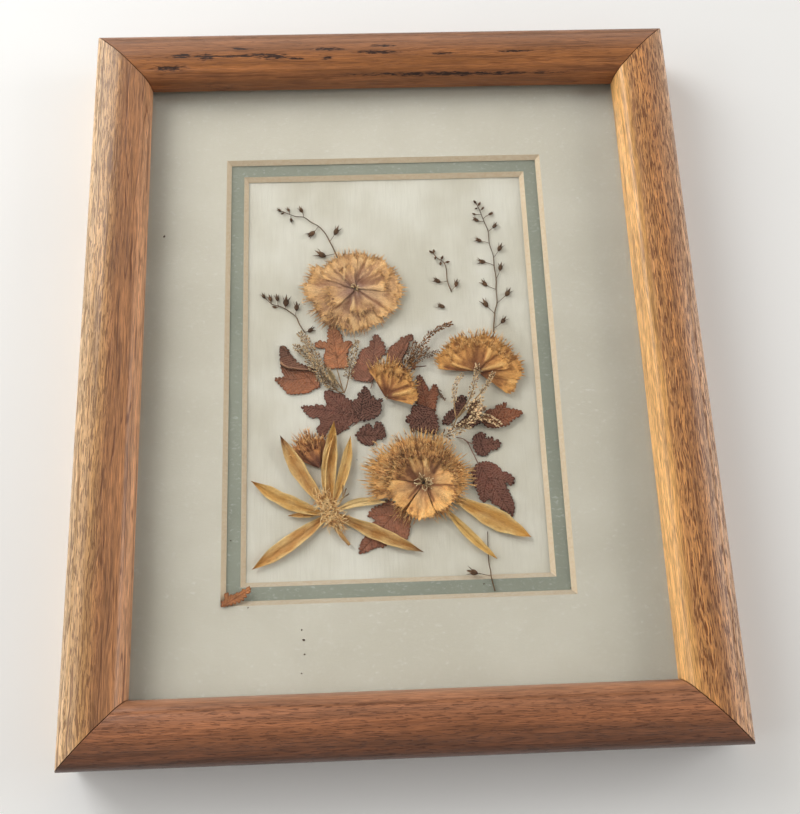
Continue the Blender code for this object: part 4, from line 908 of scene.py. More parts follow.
PETAL_FINISHES = {"tan_petal": petal_finish("tan_petal"), "gold_petal": petal_finish("gold_petal"),
                  "yellow_petal": petal_finish("yellow_petal", 0.5)}
# colours of the middle, half way out, the rim, the painted shade of the folds and the painted highlight of
# the ridges
TAN = ((176, 138, 118), (214, 168, 124), (240, 190, 126), (146, 98, 70), (252, 214, 160))
BUFF = ((150, 102, 74), (224, 164, 102), (250, 190, 112), (132, 82, 52), (255, 214, 148))
GOLD = ((134, 82, 52), (208, 146, 82), (228, 168, 94), (122, 70, 38), (246, 196, 124))
BUD = ((152, 102, 80), (180, 118, 76), (226, 156, 92), (112, 68, 50), (240, 182, 116))
# slot, centre, lowest height, colours,
# petals as (heading, reach, spread, level, the fringe's share of the reach, and how dim some are),
# folds as (x, y, x, y, width, strength) from the centre, pressed in and painted dark as shade, less
# than 0 where it is a ridge painted pale as highlight,
# the tuft's radius, height and count, and the loose threads' density and thickness
PINKS = {
    "flower_top_left": ("tan_petal", (-13.1, 32.3), 1.0, TAN, [
        (172, 22.2, 50, 0, 0.10), (-140, 21.4, 40, 0, 0.16, 0.92), (-118, 17.8, 40, 1, 0.16, 0.86),
        (138, 17.6, 34, 1, 0.10), (106, 17.6, 36, 2, 0.13), (-97, 20.8, 38, 2, 0.12, 0.88),
        (76, 17.4, 36, 1, 0.12), (-64, 19.6, 36, 1, 0.10, 0.88), (42, 17.6, 42, 2, 0.08),
        (4, 19.8, 48, 1, 0.09), (-32, 18.8, 38, 2, 0.09), (-162, 14.0, 46, 3, 0.18),
        (20, 14.0, 44, 3, 0.10), (-75, 12.5, 50, 3, 0.15, 0.9), (112, 11.0, 34, 4, 0.06)],
        [(1.0, -0.8, 11.5, -8.4, 0.52, 0.72), (-0.8, 1.2, -5.2, 8.6, 0.57, 0.5),
         (-1.6, 3.0, -3.0, 11.0, 1.72, 0.18), (0.6, 4.6, 3.4, 10.4, 0.8, 0.65),
         (1.4, 3.4, 6.6, 8.0, 0.92, 0.58), (2.4, 3.0, 9.4, 6.2, 0.8, 0.65),
         (3.0, 2.0, 10.8, 4.0, 1.03, 0.68), (-1.8, -2.6, -3.4, -8.4, 1.15, 0.58),
         (-0.3, -1.6, 0.9, -11.5, 0.57, 0.5), (1.2, -4.4, 2.6, -8.4, 0.92, 0.54),
         (5.6, -7.2, 8.6, -10.0, 0.8, 0.5), (12.2, 0.2, 15.2, -7.4, 1.15, 0.4),
         (13.6, 3.6, 12.4, 0.4, 0.69, 0.36), (-14.8, 3.0, -12.0, 2.6, 0.69, 0.29),
         (-8.2, -7.8, -2.6, -5.4, 0.69, 0.36), (-11.0, -4.5, -8.6, 0.5, 1.03, 0.25),
         (-5.6, 2.4, -3.4, 0.6, 0.57, 0.36), (1.6, 5.0, 5.6, 7.4, 0.57, -0.5),
         (-4.4, 4.4, -4.0, 10.4, 0.4, -0.8), (-1.2, -3.6, -0.8, -7.0, 0.57, -0.7),
         (3.4, -0.4, 10.2, -2.4, 2.3, -0.3)],
        (2.2, 1.6, 14), (17, 0.11)),
    "flower_middle": ("gold_petal", (-2.5, -13.2), 1.7, GOLD, [
        (101, 17.0, 30, 1, 0.18), (82, 18.0, 28, 0, 0.20), (61, 17.0, 32, 1, 0.18),
        (38, 15.4, 34, 0, 0.15), (6, 12.6, 40, 2, 0.05), (92, 13.5, 34, 2, 0.22), (66, 12.5, 34, 3, 0.22),
        (28, 12.0, 36, 3, 0.05)],
        [(0.2, 1.0, -1.2, 9.0, 0.8, 0.8), (1.0, 2.0, 3.2, 9.4, 0.7, 0.6), (2.4, 2.6, 8.4, 4.6, 0.6, 0.9),
         (-1.0, 0.0, 0.4, 3.0, 1.2, 0.8), (3.0, 1.4, 9.0, 2.0, 0.7, -0.6),
         (1.6, 4.0, 2.2, 11.0, 0.5, -0.6), (-2.0, 6.0, -2.2, 12.0, 0.6, -0.5),
         (5.0, 6.0, 7.6, 9.2, 0.6, 0.5), (3.0, -0.4, 7.4, -0.8, 0.5, 0.7)],
        (1.2, 1.2, 5), (9, 0.13)),
    "flower_right": ("gold_petal", (33.1, -3.6), 1.7, GOLD, [
        (151, 17.8, 40, 0, 0.09), (123, 18.0, 38, 1, 0.13), (95, 17.8, 38, 0, 0.15),
        (66, 18.8, 38, 1, 0.14), (37, 18.0, 36, 0, 0.12), (8, 19.0, 36, 1, 0.09),
        (-20, 16.8, 34, 0, 0.05), (140, 13.0, 44, 2, 0.10), (104, 14.6, 40, 2, 0.18),
        (74, 14.4, 40, 3, 0.18), (44, 14.0, 36, 2, 0.15), (20, 13.4, 30, 3, 0.07)],
        [(-12.4, 2.4, -2.6, -0.4, 0.7, 1.0), (-10.0, 3.6, -2.4, 0.6, 0.6, -0.5),
         (-1.4, 4.0, 0.4, 9.4, 1.5, 0.75), (1.8, 3.6, 3.4, 8.8, 0.8, 0.5),
         (-4.6, 2.8, -8.6, 8.8, 0.7, 0.5), (-3.0, 4.4, -4.4, 11.0, 0.6, 0.4),
         (2.2, 0.6, 10.6, 2.6, 0.6, -0.7), (2.4, -0.4, 9.6, 1.2, 0.4, 0.9),
         (4.2, -2.2, 11.0, -3.6, 0.5, 0.7), (3.6, 3.4, 9.4, 7.4, 0.5, 0.6),
         (12.0, 8.4, 15.6, 3.2, 0.8, 0.5), (3.4, 4.6, 5.4, 9.4, 0.5, -0.7),
         (-6.0, 5.0, -11.4, 8.6, 0.6, -0.4), (-0.6, 10.6, -0.2, 14.0, 0.6, 0.5),
         (5.4, 10.0, 7.4, 13.0, 0.5, 0.5)],
        (1.5, 1.3, 6), (15, 0.13)),
    "flower_bud_left": ("gold_petal", (-27.9, -39.6), 1.0, BUD, [
        (141, 15.6, 28, 0, 0.18), (117, 17.2, 30, 1, 0.20), (94, 14.2, 32, 0, 0.20),
        (128, 12.4, 30, 2, 0.20), (104, 12.8, 30, 3, 0.20), (118, 8.4, 44, 4, 0.08)],
        [(-0.5, 0.8, -3.6, 6.4, 1.5, 0.7), (-2.0, 1.2, -7.4, 6.0, 0.6, 0.7),
         (-0.4, 2.0, -2.0, 8.8, 0.6, 0.5), (-3.4, 3.4, -7.0, 8.0, 0.5, -0.5),
         (-1.4, 5.6, -3.4, 11.0, 0.5, -0.5)],
        (0.8, 1.0, 3), (16, 0.17)),
    "flower_bottom": ("tan_petal", (10.4, -46.7), 1.7, BUFF, [
        (175, 23.8, 40, 0, 0.17), (152, 24.6, 30, 1, 0.17), (120, 22.4, 40, 0, 0.16),
        (84, 22.0, 40, 1, 0.18), (50, 20.8, 40, 0, 0.20), (16, 20.6, 38, 1, 0.20),
        (-16, 17.4, 36, 0, 0.16), (-58, 16.0, 40, 0, 0.20), (-122, 17.6, 34, 0, 0.24, 0.95),
        (162, 18.4, 42, 2, 0.28), (132, 18.4, 40, 3, 0.26, 0.92), (102, 17.6, 40, 2, 0.24, 0.9),
        (70, 17.4, 40, 3, 0.22, 0.9), (38, 16.4, 40, 2, 0.24, 0.95), (146, 12.8, 40, 4, 0.20, 0.85),
        (112, 12.6, 36, 5, 0.18, 0.7), (80, 12.0, 34, 4, 0.18, 0.85), (50, 12.8, 34, 5, 0.18, 0.7),
        (12, 14.0, 44, 5, 0.16, 1.05), (-38, 13.8, 54, 6, 0.09, 1.1), (-158, 15.6, 50, 5, 0.12, 0.98),
        (-98, 14.4, 44, 7, 0.06, 1.1)],
        [(-7.6, 10.4, -2.6, 2.0, 1.5, 0.9), (-6.4, 4.8, -2.0, 0.4, 0.9, 0.8),
         (-1.6, 13.6, -0.6, 7.6, 0.8, 0.7), (3.6, 10.2, 3.0, 3.4, 0.9, 0.85),
         (6.4, 8.6, 4.0, 3.8, 0.7, 0.7), (-9.6, 2.6, -1.8, -0.8, 0.6, 0.85),
         (3.4, -0.9, 12.4, -1.2, 0.3, 0.8), (1.2, -1.4, 3.4, -6.6, 0.5, 0.85),
         (-5.8, -5.4, -1.8, -1.2, 0.5, 0.85), (-4.6, 9.6, -3.0, 4.4, 0.6, -0.7),
         (0.8, 7.6, 3.0, 3.2, 0.7, -0.6), (-11.0, 6.0, -6.0, 3.0, 0.5, 0.5),
         (-2.6, -3.4, -1.6, -8.6, 1.4, -0.35), (4.4, -2.6, 8.0, -6.0, 1.6, -0.35),
         (6.0, 1.4, 11.0, 2.6, 1.4, -0.35), (-6.0, -1.4, -10.6, -3.0, 1.4, -0.25),
         (-12.0, 10.0, -9.6, 6.6, 0.5, 0.5), (9.0, 8.0, 7.4, 5.6, 0.5, 0.5)],
        (3.4, 3.4, 44), (13, 0.15)),
}
for number, (name, pink) in enumerate(PINKS.items()):
    slot, centre, low, colours, petals, strokes, heart, fray = pink
    shapes = [fan_petal(np.array(centre), petal, low, 100 * number + k, colours, strokes)
              for k, petal in enumerate(petals)]
    for k, petal in enumerate(petals):
        shapes += frayed(centre, petal, low, 100 * number + k, colours, *fray)
    top = low + PETAL_STEP * max(petal[3] for petal in petals)
    shapes += tuft(centre, heart[0], top + 0.2, top + 0.6 + heart[1] * 0.2,
                   ((186, 146, 92), (250, 230, 184)), number, heart[2])
    press(name, shapes, PETAL_FINISHES[slot], slot)

# === lily and loose petals ======================================================================
# A yellow lily, pressed open, with its stamens in a fuzzy bundle and a stub of its stalk.  Two
# petals of another one lie loose at the lower right.
# the pale tone of the curled margins, which is also the painted highlight on raised parts, and the painted
# shade down the keel
PALE_RIM_AND_HIGHLIGHT, KEEL_SHADE_TONE = (236, 204, 140), (150, 98, 48)
# base, tip, half width, height, bow, tone of the body, tone of the tip
LILY_PETALS = (
    ((-25.9, -54.5), (-42.8, -26.6), 2.9, 2.05, 1.1, (196, 142, 76), (112, 62, 36)),
    ((-26.8, -56.9), (-53.6, -43.6), 2.7, 1.0, 1.3, (208, 158, 84), (196, 134, 50)),
    ((-26.0, -57.9), (-53.0, -76.2), 3.0, 1.12, 0.1, (204, 148, 82), (214, 150, 68)),
    ((-24.4, -54.2), (-22.4, -21.8), 2.7, 2.17, 0.9, (196, 142, 70), (214, 164, 74)),
    ((-23.8, -54.4), (-16.3, -27.4), 2.1, 1.65, -1.0, (212, 162, 88), (216, 170, 84)),
    ((-22.8, -55.8), (-3.4, -53.2), 1.6, 1.06, 1.7, (244, 212, 150), (255, 236, 190)),
    ((-22.9, -57.1), (9.2, -72.0), 2.6, 1.18, -0.2, (176, 124, 62), (150, 102, 58)),
    ((-26.8, -56.5), (-40.0, -57.0), 1.1, 0.67, 0.0, (206, 156, 92), (206, 156, 92)),
    ((-25.8, -52.4), (-22.6, -27.0), 1.0, 2.75, 2.2, (226, 182, 112), (230, 180, 96)),
)


def strap_petal(base, tip, half_width, height, bow, body_tone, tip_tone, seed):
    """A long petal: ribbed along its length, keeled in the middle, with thin curled margins."""
    start = np.array(base, float)
    run = np.array(tip, float) - start
    length = np.linalg.norm(run)
    across = np.array((-run[1], run[0])) / length
    body, pale, keel_shade_tone = (np.array(rgb(*c)) for c in (body_tone, PALE_RIM_AND_HIGHLIGHT, KEEL_SHADE_TONE))
    rows, columns = int(length / 0.45), 17
    side = np.linspace(-1, 1, columns)
    points, tints, places = [], [], []
    for r in range(rows + 1):
        share = r / rows
        width = half_width * (0.28 + 0.72 * math.sin(math.pi * share ** 1.1) ** 0.8) * (1 - share ** 9)
        width = max(0.08, width * (1 + 0.14 * ripple(share * 6, seed, 2)))
        middle = start + run * share + across * bow * math.sin(math.pi * share)
        wave = np.array([ripple(s * 1.3, share * length / 5, seed) for s in side])
        rib = np.cos(side * 16) * 0.5
        curl = np.abs(side) ** 4 * (0.5 + 0.4 * math.sin(share * 9 + seed * 2) * np.sign(side))
        z = height + 0.2 + 0.05 * rib - 0.3 * np.exp(-(side / 0.16) ** 2) + curl + 0.35 * wave
        xy = middle + np.outer(side * width, across)
        points.append(np.column_stack([xy, np.maximum(z, 0.15)]))
        # paler at the curled margins, and painted paler as highlight wherever the petal is raised; the
        # groove of the keel is painted dark as shade
        tint = shade(body, pale, (np.abs(side) ** 4 * (0.8 + curl) + 0.6 * wave + 0.1))
        keel_shade = np.clip(0.75 * np.exp(-(side / 0.2) ** 2) * (1 - share), 0, 1)
        tint = tint + (keel_shade_tone - tint) * keel_shade[:, None]
        end = np.clip((share - 0.72) / 0.28, 0, 1) ** 1.5
        tints.append(tint + (np.array(rgb(*tip_tone)) - tint) * end)
        places.append(np.column_stack([side * width, np.full(columns, share * length),
                                       np.full(columns, seed)]))
    upper = np.vstack(points)
    points, faces = two_sided(upper, upper - (0, 0, 0.12), grid_faces(rows + 1, columns))
    return points, faces, petal_marks(tints, places)


def lily_stamens(count):
    """The fuzzy bundle: pale curled threads that rise from the throat and bend over."""
    chance = random.Random(31)
    shapes = []
    for k in range(count):
        share = chance.random()
        root = np.array((-27.2 + 5.0 * share + chance.uniform(-2.6, 2.6), -50.2 - 11.5 * share))
        turn = chance.uniform(0, 2 * math.pi)
        reach = chance.uniform(1.6, 4.4)
        mid = root + 0.55 * reach * toward(turn)
        turn += chance.uniform(-1.1, 1.1)
        far = mid + 0.6 * reach * toward(turn)
        tall = chance.uniform(2.3, 3.9)
        ends = ((160, 108, 64), (240, 190, 124))
        if chance.random() > 0.25:
            ends = ((252, 200, 130), (255, 234, 182))
        path = [(*root, 1.8), (*mid, tall), (*far, tall * chance.uniform(0.55, 0.95))]
        shapes.append(filament(path, 0.2, 0.1, ends, k))
    return shapes


shapes = [strap_petal(*petal, seed) for seed, petal in enumerate(LILY_PETALS)]
shapes += lily_stamens(260)
# the stub of the stalk, and three stamens that stand apart
shapes.append(filament([(-24.0, -58.4, 1.6), (-21.4, -63.4, 1.2), (-17.6, -68.4, 1.0)], 1.2, 0.6,
                       ((212, 166, 104), (190, 144, 88)), 3))
for end in ((-18.4, -47.6), (-17.4, -49.6), (-19.6, -46.4)):
    shapes.append(filament([(-22.6, -54.6, 1.8), (-20.0, -51.6, 2.4), (*end, 2.2)], 0.22, 0.26,
                           ((232, 196, 136), (92, 66, 42)), 4))
press("lily", shapes, PETAL_FINISHES["yellow_petal"], "yellow_petal", "lily_left")
LOOSE_PETALS = {
    "petal_broad": ((22.5, -53.0), (49.2, -67.8), 3.8, 1.0, 0.0, (204, 150, 74), (216, 156, 66)),
    "petal_narrow": ((18.4, -56.7), (36.0, -75.3), 1.8, 1.0, -0.6, (218, 174, 98), (232, 184, 92)),
}
for name, petal in LOOSE_PETALS.items():
    press(name, [strap_petal(*petal, len(name))], PETAL_FINISHES["yellow_petal"], "yellow_petal")

# === specks =====================================================================================
# Crumbs of the dried plants and a few pale flecks, which lie loose on the sheet and on both mats,
# each given by its place and its size.
DARK_CRUMBS = ((-35.1, -98.2, 0.34), (-34.5, -101.7, 0.5), (-34.2, -106.6, 0.34), (-60.8, -65.5, 0.3),
               (62.1, -86.8, 0.34), (-35.3, -113.0, 0.3), (-54.1, -89.8, 0.3), (-63.7, -73.0, 0.24),
               (-63.2, -77.7, 0.28), (-62.8, -82.4, 0.24), (-88.3, 55.9, 0.55), (5.0, -0.6, 0.6),
               (7.4, -1.9, 0.5), (8.9, -1.2, 0.5), (30.6, -84.2, 0.3), (-14.2, -36.4, 0.3))
PALE_FLECKS = ((-55.0, 121.2, 0.55), (-24.4, 121.0, 0.4), (48.0, 118.5, 0.3), (70.2, 20.4, 0.3))
MAT_WINDOW, INNER_WINDOW = (63.9, 89.2), (57.1, 82.5)    # half sizes
MAT_TOP, INNER_TOP = 3.6, 1.8


def crumb(x, y, size, colours, chance):
    """A lump with an uneven skin, lying on whatever is under it."""
    on_mat = abs(x) > MAT_WINDOW[0] or abs(y) > MAT_WINDOW[1]
    on_inner = abs(x) > INNER_WINDOW[0] or abs(y) > INNER_WINDOW[1]
    height = (MAT_TOP if on_mat else INNER_TOP if on_inner else 0.0) + 0.35 * size
    turn = chance.uniform(0, math.pi)
    half = size * toward(turn)
    rings = [(0.0, 0.05), (0.2, 0.3), (0.5, 0.36), (0.8, 0.24), (1.0, 0.05)]
    points, faces = turned((x - half[0], y - half[1], height), (x + half[0], y + half[1], height), rings,
                           6, flat=0.5)
    points = points + np.array([[chance.uniform(-0.12, 0.12) * size for _ in range(3)] for _ in points])
    points[:, 2] = np.maximum(points[:, 2], height - 0.3 * size)
    # each is painted a little lighter towards its top, as highlight
    return points, faces, plain_marks(points, tones(colours, points[:, 2] - height))


for name, crumbs, colours, slot in (
        ("dark_crumbs", DARK_CRUMBS, ((78, 56, 42), (104, 78, 58)), "dry_stem"),
        ("pale_flecks", PALE_FLECKS, ((214, 208, 194), (240, 236, 226)), "off_white_paper")):
    chance = random.Random(name)
    points, faces, marks = joined([crumb(*entry, colours, chance) for entry in crumbs])
    piece(name, on_sheet(points), faces, stem_finish, slot, **marks)

# === mats =======================================================================================
# Two cards laid on the sheet, one on the other, with windows cut at a slant, so that each shows a
# cream core round its window.  The outer one is pale sage, the inner one grey-green, both dull and
# faintly fibrous.


def card_finish(name, face, speck, core):
    """Card: a cloudy, fibrous face, and its core wherever it is cut at a slant."""
    made = Finish(name, 0.9, Specular_IOR_Level=0.2)
    fibre = made.mottle(0.5, detail=5.0, rough=0.7)
    cloud = made.mottle((38, 30, 30), detail=3.0)
    grain = made.mottle((1.6, 0.9, 1.2), detail=3.0, bend=0.6)
    colour = made.mix(made.between(cloud, 0.3, 0.7, 0.0, 0.5), face, speck)
    colour = made.mix(made.between(fibre, 0.5, 0.8, 0.0, 0.3), colour, speck)
    colour = made.mix(made.between(grain, 0.55, 0.8, 0.0, 0.2), colour, (1.0, 1.0, 1.0))
    facing = made.node("NewGeometry", {}, {}, "Normal")
    upright = made.sums("ABSOLUTE", made.node("SeparateXYZ", {}, {0: facing}, "Z"))
    bevel = made.between(upright, 0.95, 0.8)
    cut = made.mix(made.between(grain, 0.3, 0.7, 0.0, 0.5), core,
                   made.times(core, (0.86, 0.76, 0.66)))
    # the bevels that face up while the frame hangs, along the bottom of each window, are darker and greyer
    lower_bevels = made.between(made.node("SeparateXYZ", {}, {0: facing}, "Y"), 0.3, 0.6, 0.0, 0.85)
    cut = made.mix(lower_bevels, cut, made.times(cut, (0.72, 0.75, 0.8)))
    colour = made.mix(bevel, colour, cut)
    return made.paint(colour, made.relief(made.sums("ADD", fibre, grain), 0.05))


def dress(name, material):
    """A solid of the frame that shows as it is, in a finish made here."""
    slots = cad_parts[name].data.materials
    slots.clear()
    slots.append(material)


CREAM_CORE = rgb(217, 199, 172)
for name, face, speck in (("outer_mat", rgb(212, 206, 191), rgb(196, 189, 172)),
                          ("inner_mat", rgb(154, 157, 143), rgb(132, 136, 122))):
    dress(name, card_finish(name + "_card", face, speck, CREAM_CORE))

# === glass ======================================================================================
# A plain clear pane, cut to fit the rabbet and held there by the rails' lip.  The dried flowers keep
# it a little off the mats.  Lamps shine through it as if it weren't there.
pane = Finish("glass", 0.02, Transmission_Weight=1.0, IOR=1.5)
pane.shader.inputs["Base Color"].default_value = (0.985, 0.995, 0.99, 1.0)
lamp_path = pane.node("LightPath", {}, {}, "Is Shadow Ray")
through = pane.node("BsdfTransparent", {}, {})
both = pane.tree.nodes.new("ShaderNodeMixShader")
pane.feed(both.inputs[0], lamp_path)
pane.tree.links.new(pane.shader.outputs[0], both.inputs[1])
pane.tree.links.new(through, both.inputs[2])
pane.tree.links.new(both.outputs[0], pane.tree.nodes["Material Output"].inputs["Surface"])
dress("glass", pane.material)

# === oak rails ==================================================================================
# Four lengths of oak moulding, mitred and glued at the corners, stained golden brown and
# varnished.  The grain and its open pores run along each rail.  Each rail's colour bands hold
# painted light and shade as well as the stain.
SIGHT = (190.2, 239.8)
MOULDING_WIDTH, FRAME_DEPTH, CROWN_RISE = 22.0, 26.0, 1.7
RABBET, LIP_LOW = 7.5, 14.9
INNER_ROUND, OUTER_ROUND = (4.5, 7.0), (3.8, 4.3)
SEAM = 0.3


def moulding(sight):
    """The rail's cross-section as (distance from the frame's middle, height)."""
    shoulder = FRAME_DEPTH - CROWN_RISE
    wall, outside = sight + RABBET, sight + MOULDING_WIDTH
    line = [(wall, LIP_LOW), (sight + 0.3, LIP_LOW), (sight, LIP_LOW + 0.3)]
    for turn in np.linspace(0, math.pi / 2, 14)[1:]:
        line.append((sight + INNER_ROUND[0] * (1 - math.cos(turn)),
                     shoulder - INNER_ROUND[1] * (1 - math.sin(turn))))
    span = MOULDING_WIDTH - INNER_ROUND[0] - OUTER_ROUND[0]
    for share in np.linspace(0, 1, 19)[1:-1]:
        line.append((sight + INNER_ROUND[0] + span * share,
                     shoulder + CROWN_RISE * (1 - (2 * share - 1) ** 2)))
    for turn in np.linspace(0, math.pi / 2, 12):
        line.append((outside - OUTER_ROUND[0] * (1 - math.sin(turn)),
                     shoulder - OUTER_ROUND[1] * (1 - math.cos(turn))))
    return line + [(outside, 0.5), (outside - 0.5, 0.0), (wall, 0.0)]


def ramp(made, value, stops):
    """Colours along a value, from (value, colour) stops."""
    node = made.tree.nodes.new("ShaderNodeValToRGB")
    made.feed(node.inputs[0], value)
    elements = node.color_ramp.elements
    elements.remove(elements[1])
    elements[0].position, elements[0].color = stops[0][0] / MOULDING_WIDTH, (*rgb(*stops[0][1]), 1.0)
    for place, colour in stops[1:]:
        elements.new(place / MOULDING_WIDTH).color = (*rgb(*colour), 1.0)
    return node.outputs[0]


def oak_finish(name, turns, sight, seed, stain_and_light_bands, lines, dashes, wander, depth, pits=()):
    """Oak whose grain follows one rail, with its colours banded over the width from the inner edge, as
    stain with painted light and shade.

    `lines` and `dashes` are (strength, place where they start, place where they are full), and
    the dashes' last number is how rare they are."""
    made = Finish(name, 0.5, Coat_Weight=0.35, Coat_Roughness=0.2, Specular_IOR_Level=0.4)
    spot = made.places(1, -turns * math.pi / 2)

    def grain(where, size, detail, rough=0.55, bend=0.0):
        spread = made.node("Mapping", {"vector_type": "TEXTURE"},
                           {"Vector": where, "Scale": size, "Location": (31.0 * seed, 7.0 * seed, 0)})
        return made.mottle(spread, detail=detail, rough=rough, bend=bend)

    sway = made.sums("MULTIPLY", made.sums("SUBTRACT", grain(spot, (24, 5, 7), 2.0), 0.5), wander)
    bent = made.node("VectorMath", {"operation": "ADD"},
                     {0: spot, 1: made.node("CombineXYZ", {}, {"Y": sway})})
    across = made.sums("SUBTRACT", made.node("SeparateXYZ", {}, {0: bent}, "Y"), sight)
    # the base colour across the rail, from bands that hold painted light and shade as well as the stain
    tone = ramp(made, made.sums("DIVIDE", across, MOULDING_WIDTH), stain_and_light_bands)
    broad, fibre = grain(bent, (50, 2.2, 3), 4.0), grain(bent, (6, 0.26, 0.32), 3.0)
    ring, pore = grain(bent, (130, 5.0, 7), 1.0), grain(bent, (4.6, 0.42, 0.5), 2.0, 0.6)
    streak = grain(bent, (38, 0.9, 1.2), 3.0)
    shade_of = made.sums("MULTIPLY", made.between(broad, 0.3, 0.7, 0.78, 1.2),
                         made.between(fibre, 0.3, 0.7, 1 - depth, 1 + depth))
    colour = made.times(tone, shade_of)
    rings = made.sums("PINGPONG", made.sums("MULTIPLY", ring, 11.0), 0.5)
    drawn = made.sums("MULTIPLY", made.between(rings, 0.10, 0.02, 0.0, lines[0]),
                      made.between(across, lines[1], lines[2]))
    drawn = made.sums("MULTIPLY", drawn, made.between(grain(bent, (14, 3, 3), 2.0), 0.4, 0.6))
    drawn = made.sums("MAXIMUM", drawn, made.between(streak, 0.55, 0.68, 0.0, lines[0]))
    dashed = made.sums("MULTIPLY", made.between(pore, dashes[3], dashes[3] + 0.08, 0.0, dashes[0]),
                       made.between(across, dashes[1], dashes[2]))
    worn, holes = made.sums("MAXIMUM", drawn, dashed), 0.0
    ragged = made.between(grain(bent, (2.6, 0.4, 0.5), 3.0), 0.32, 0.68, -0.7, 0.7)
    for x, y, half_length, half_width in pits:
        near = made.node("Mapping", {"vector_type": "TEXTURE"},
                         {"Vector": bent, "Location": (x, y, FRAME_DEPTH),
                          "Scale": (half_length, half_width, FRAME_DEPTH)})
        gap = made.node("VectorMath", {"operation": "LENGTH"}, {0: near}, "Value")
        gap = made.sums("ADD", gap, ragged)
        worn = made.sums("MAXIMUM", worn, made.between(gap, 1.7, 0.8, 0.0, 0.8))
        holes = made.sums("MAXIMUM", holes, made.between(gap, 1.0, 0.7, 0.0, 0.85))
    colour = made.mix(worn, colour, made.times(tone, (0.33, 0.24, 0.19)))
    colour = made.mix(holes, colour, rgb(46, 28, 20))
    height = made.sums("SUBTRACT", made.sums("MULTIPLY", fibre, 0.5), made.sums("ADD", worn, holes))
    return made.paint(colour, made.relief(height, 0.22))


# dark pits in the top rail: place from the frame's middle, half length and half width
PITS = ((-87.1, 124.7, 4.4, 0.76), (-72.1, 128.6, 2.4, 0.86), (-81.2, 129.5, 2.9, 0.54),
        (-57.8, 132, 2.9, 0.43), (-45, 128.1, 4.6, 0.65), (-51.3, 129.2, 3.3, 0.43),
        (-35.5, 127.4, 2.4, 0.43), (-22.7, 127.4, 1.4, 0.54), (-22.4, 131.2, 4.4, 0.54),
        (-2.5, 129.6, 6.2, 0.54), (0.1, 132.6, 3.3, 0.43), (-65.7, 119.3, 6.8, 0.37),
        (-33.9, 116.6, 3.3, 0.37), (-83.2, 117.4, 4.7, 0.37), (-64.2, 128.9, 17.2, 0.3),
        (24, 128.6, 3.7, 0.37), (54, 128.9, 4.8, 0.37), (30, 121.4, 29.9, 0.34), (8, 117.2, 8.6, 0.32))
# which of SIGHT's two sizes its distance from the middle goes by, and which its length, seed, colour
# bands from the inner edge, lines, dashes, how far the grain wanders, how strong its fibre is, pits
# the bands are the stain with painted light and shade: the side rails are painted lighter than the top and
# bottom ones, the right rail's inner round and both side rails' outer edges carry a painted highlight, and
# the bottom rail's outer slope carries painted shade
RAILS = (
    ("rail_top", 1, 0, 1, ((0.8, (158, 100, 58)), (3.5, (168, 106, 58)), (8.0, (172, 110, 62)),
                           (12.0, (158, 103, 64)), (18.0, (152, 103, 70)), (22.0, (150, 108, 80))),
     (0.5, 21.0, 3.0), (0.4, 0.0, 6.0, 0.58), 1.6, 0.2, PITS),
    ("rail_right", 0, 1, 3, ((0.8, (230, 176, 108)), (4.0, (224, 166, 98)), (5.6, (210, 148, 86)),
                             (12.0, (196, 134, 80)), (16.0, (206, 148, 98)), (22.0, (226, 184, 150))),
     (0.45, 0.0, 4.0), (0.95, 3.0, 6.5, 0.51), 2.4, 0.4, ()),
    ("rail_bottom", 1, 0, 5, ((0.8, (156, 108, 76)), (4.0, (159, 103, 67)), (10.0, (162, 103, 67)),
                              (14.0, (147, 94, 63)), (18.0, (124, 79, 55)), (22.0, (100, 67, 53))),
     (0.3, 0.0, 4.0), (0.6, 0.0, 4.0, 0.56), 1.4, 0.22, ()),
    ("rail_left", 0, 1, 8, ((0.8, (216, 158, 114)), (3.0, (190, 132, 88)), (9.0, (176, 122, 80)),
                            (13.0, (196, 146, 92)), (17.0, (214, 168, 116)), (22.0, (232, 196, 152))),
     (0.85, 18.0, 9.0), (0.75, 4.0, 12.0, 0.53), 2.0, 0.34, ()),
)
HANGER_POCKET = (24.5, 129.45, 139.85, 3.0)      # half length, inner and outer edge, depth
for turns, (name, distance_by, length_by, seed, *grain_settings) in enumerate(RAILS):
    sight, half_run = SIGHT[distance_by] / 2, SIGHT[length_by] / 2
    profile = moulding(sight)
    cut = [None, None]
    if name == "rail_top":
        half_pocket, inner, outer, depth = HANGER_POCKET
        cut = [None, (-half_pocket, 0.0), (-half_pocket, depth), (half_pocket, depth),
               (half_pocket, 0.0), None]
        profile[-1:-1] = [(outer, 0.0), (outer, 0.0), (inner, 0.0), (inner, 0.0)]
    rail_points = []
    for number, stop in enumerate(cut):
        end = -1 if number == 0 else 1
        for corner, (distance, height) in enumerate(profile):
            reach = half_run + (distance - sight) - SEAM / 2 * math.sqrt(2)
            if stop and len(profile) - 4 <= corner < len(profile) - 2:
                height = stop[1]
            rail_points.append((stop[0] if stop else end * reach, distance, height))
    faces = tube_faces(len(cut), len(profile))
    spin = Matrix.Rotation(-turns * math.pi / 2, 3, "Z")
    rail_points = [spin @ Vector(p) for p in rail_points]
    finish = oak_finish(name.replace("rail", "oak"), turns, sight, seed, *grain_settings)
    made = piece(name.replace("rail", "moulding"), rail_points, faces, finish, "oak", [name])
    # the pocket's corners come more than once in the section, and are merged here
    merged = bmesh.new()
    merged.from_mesh(made.data)
    bmesh.ops.remove_doubles(merged, verts=merged.verts, dist=0.001 * MM)
    bmesh.ops.dissolve_degenerate(merged, edges=merged.edges, dist=0.001 * MM)
    merged.to_mesh(made.data)
    merged.free()
    made.data.set_sharp_from_angle(angle=math.radians(32))

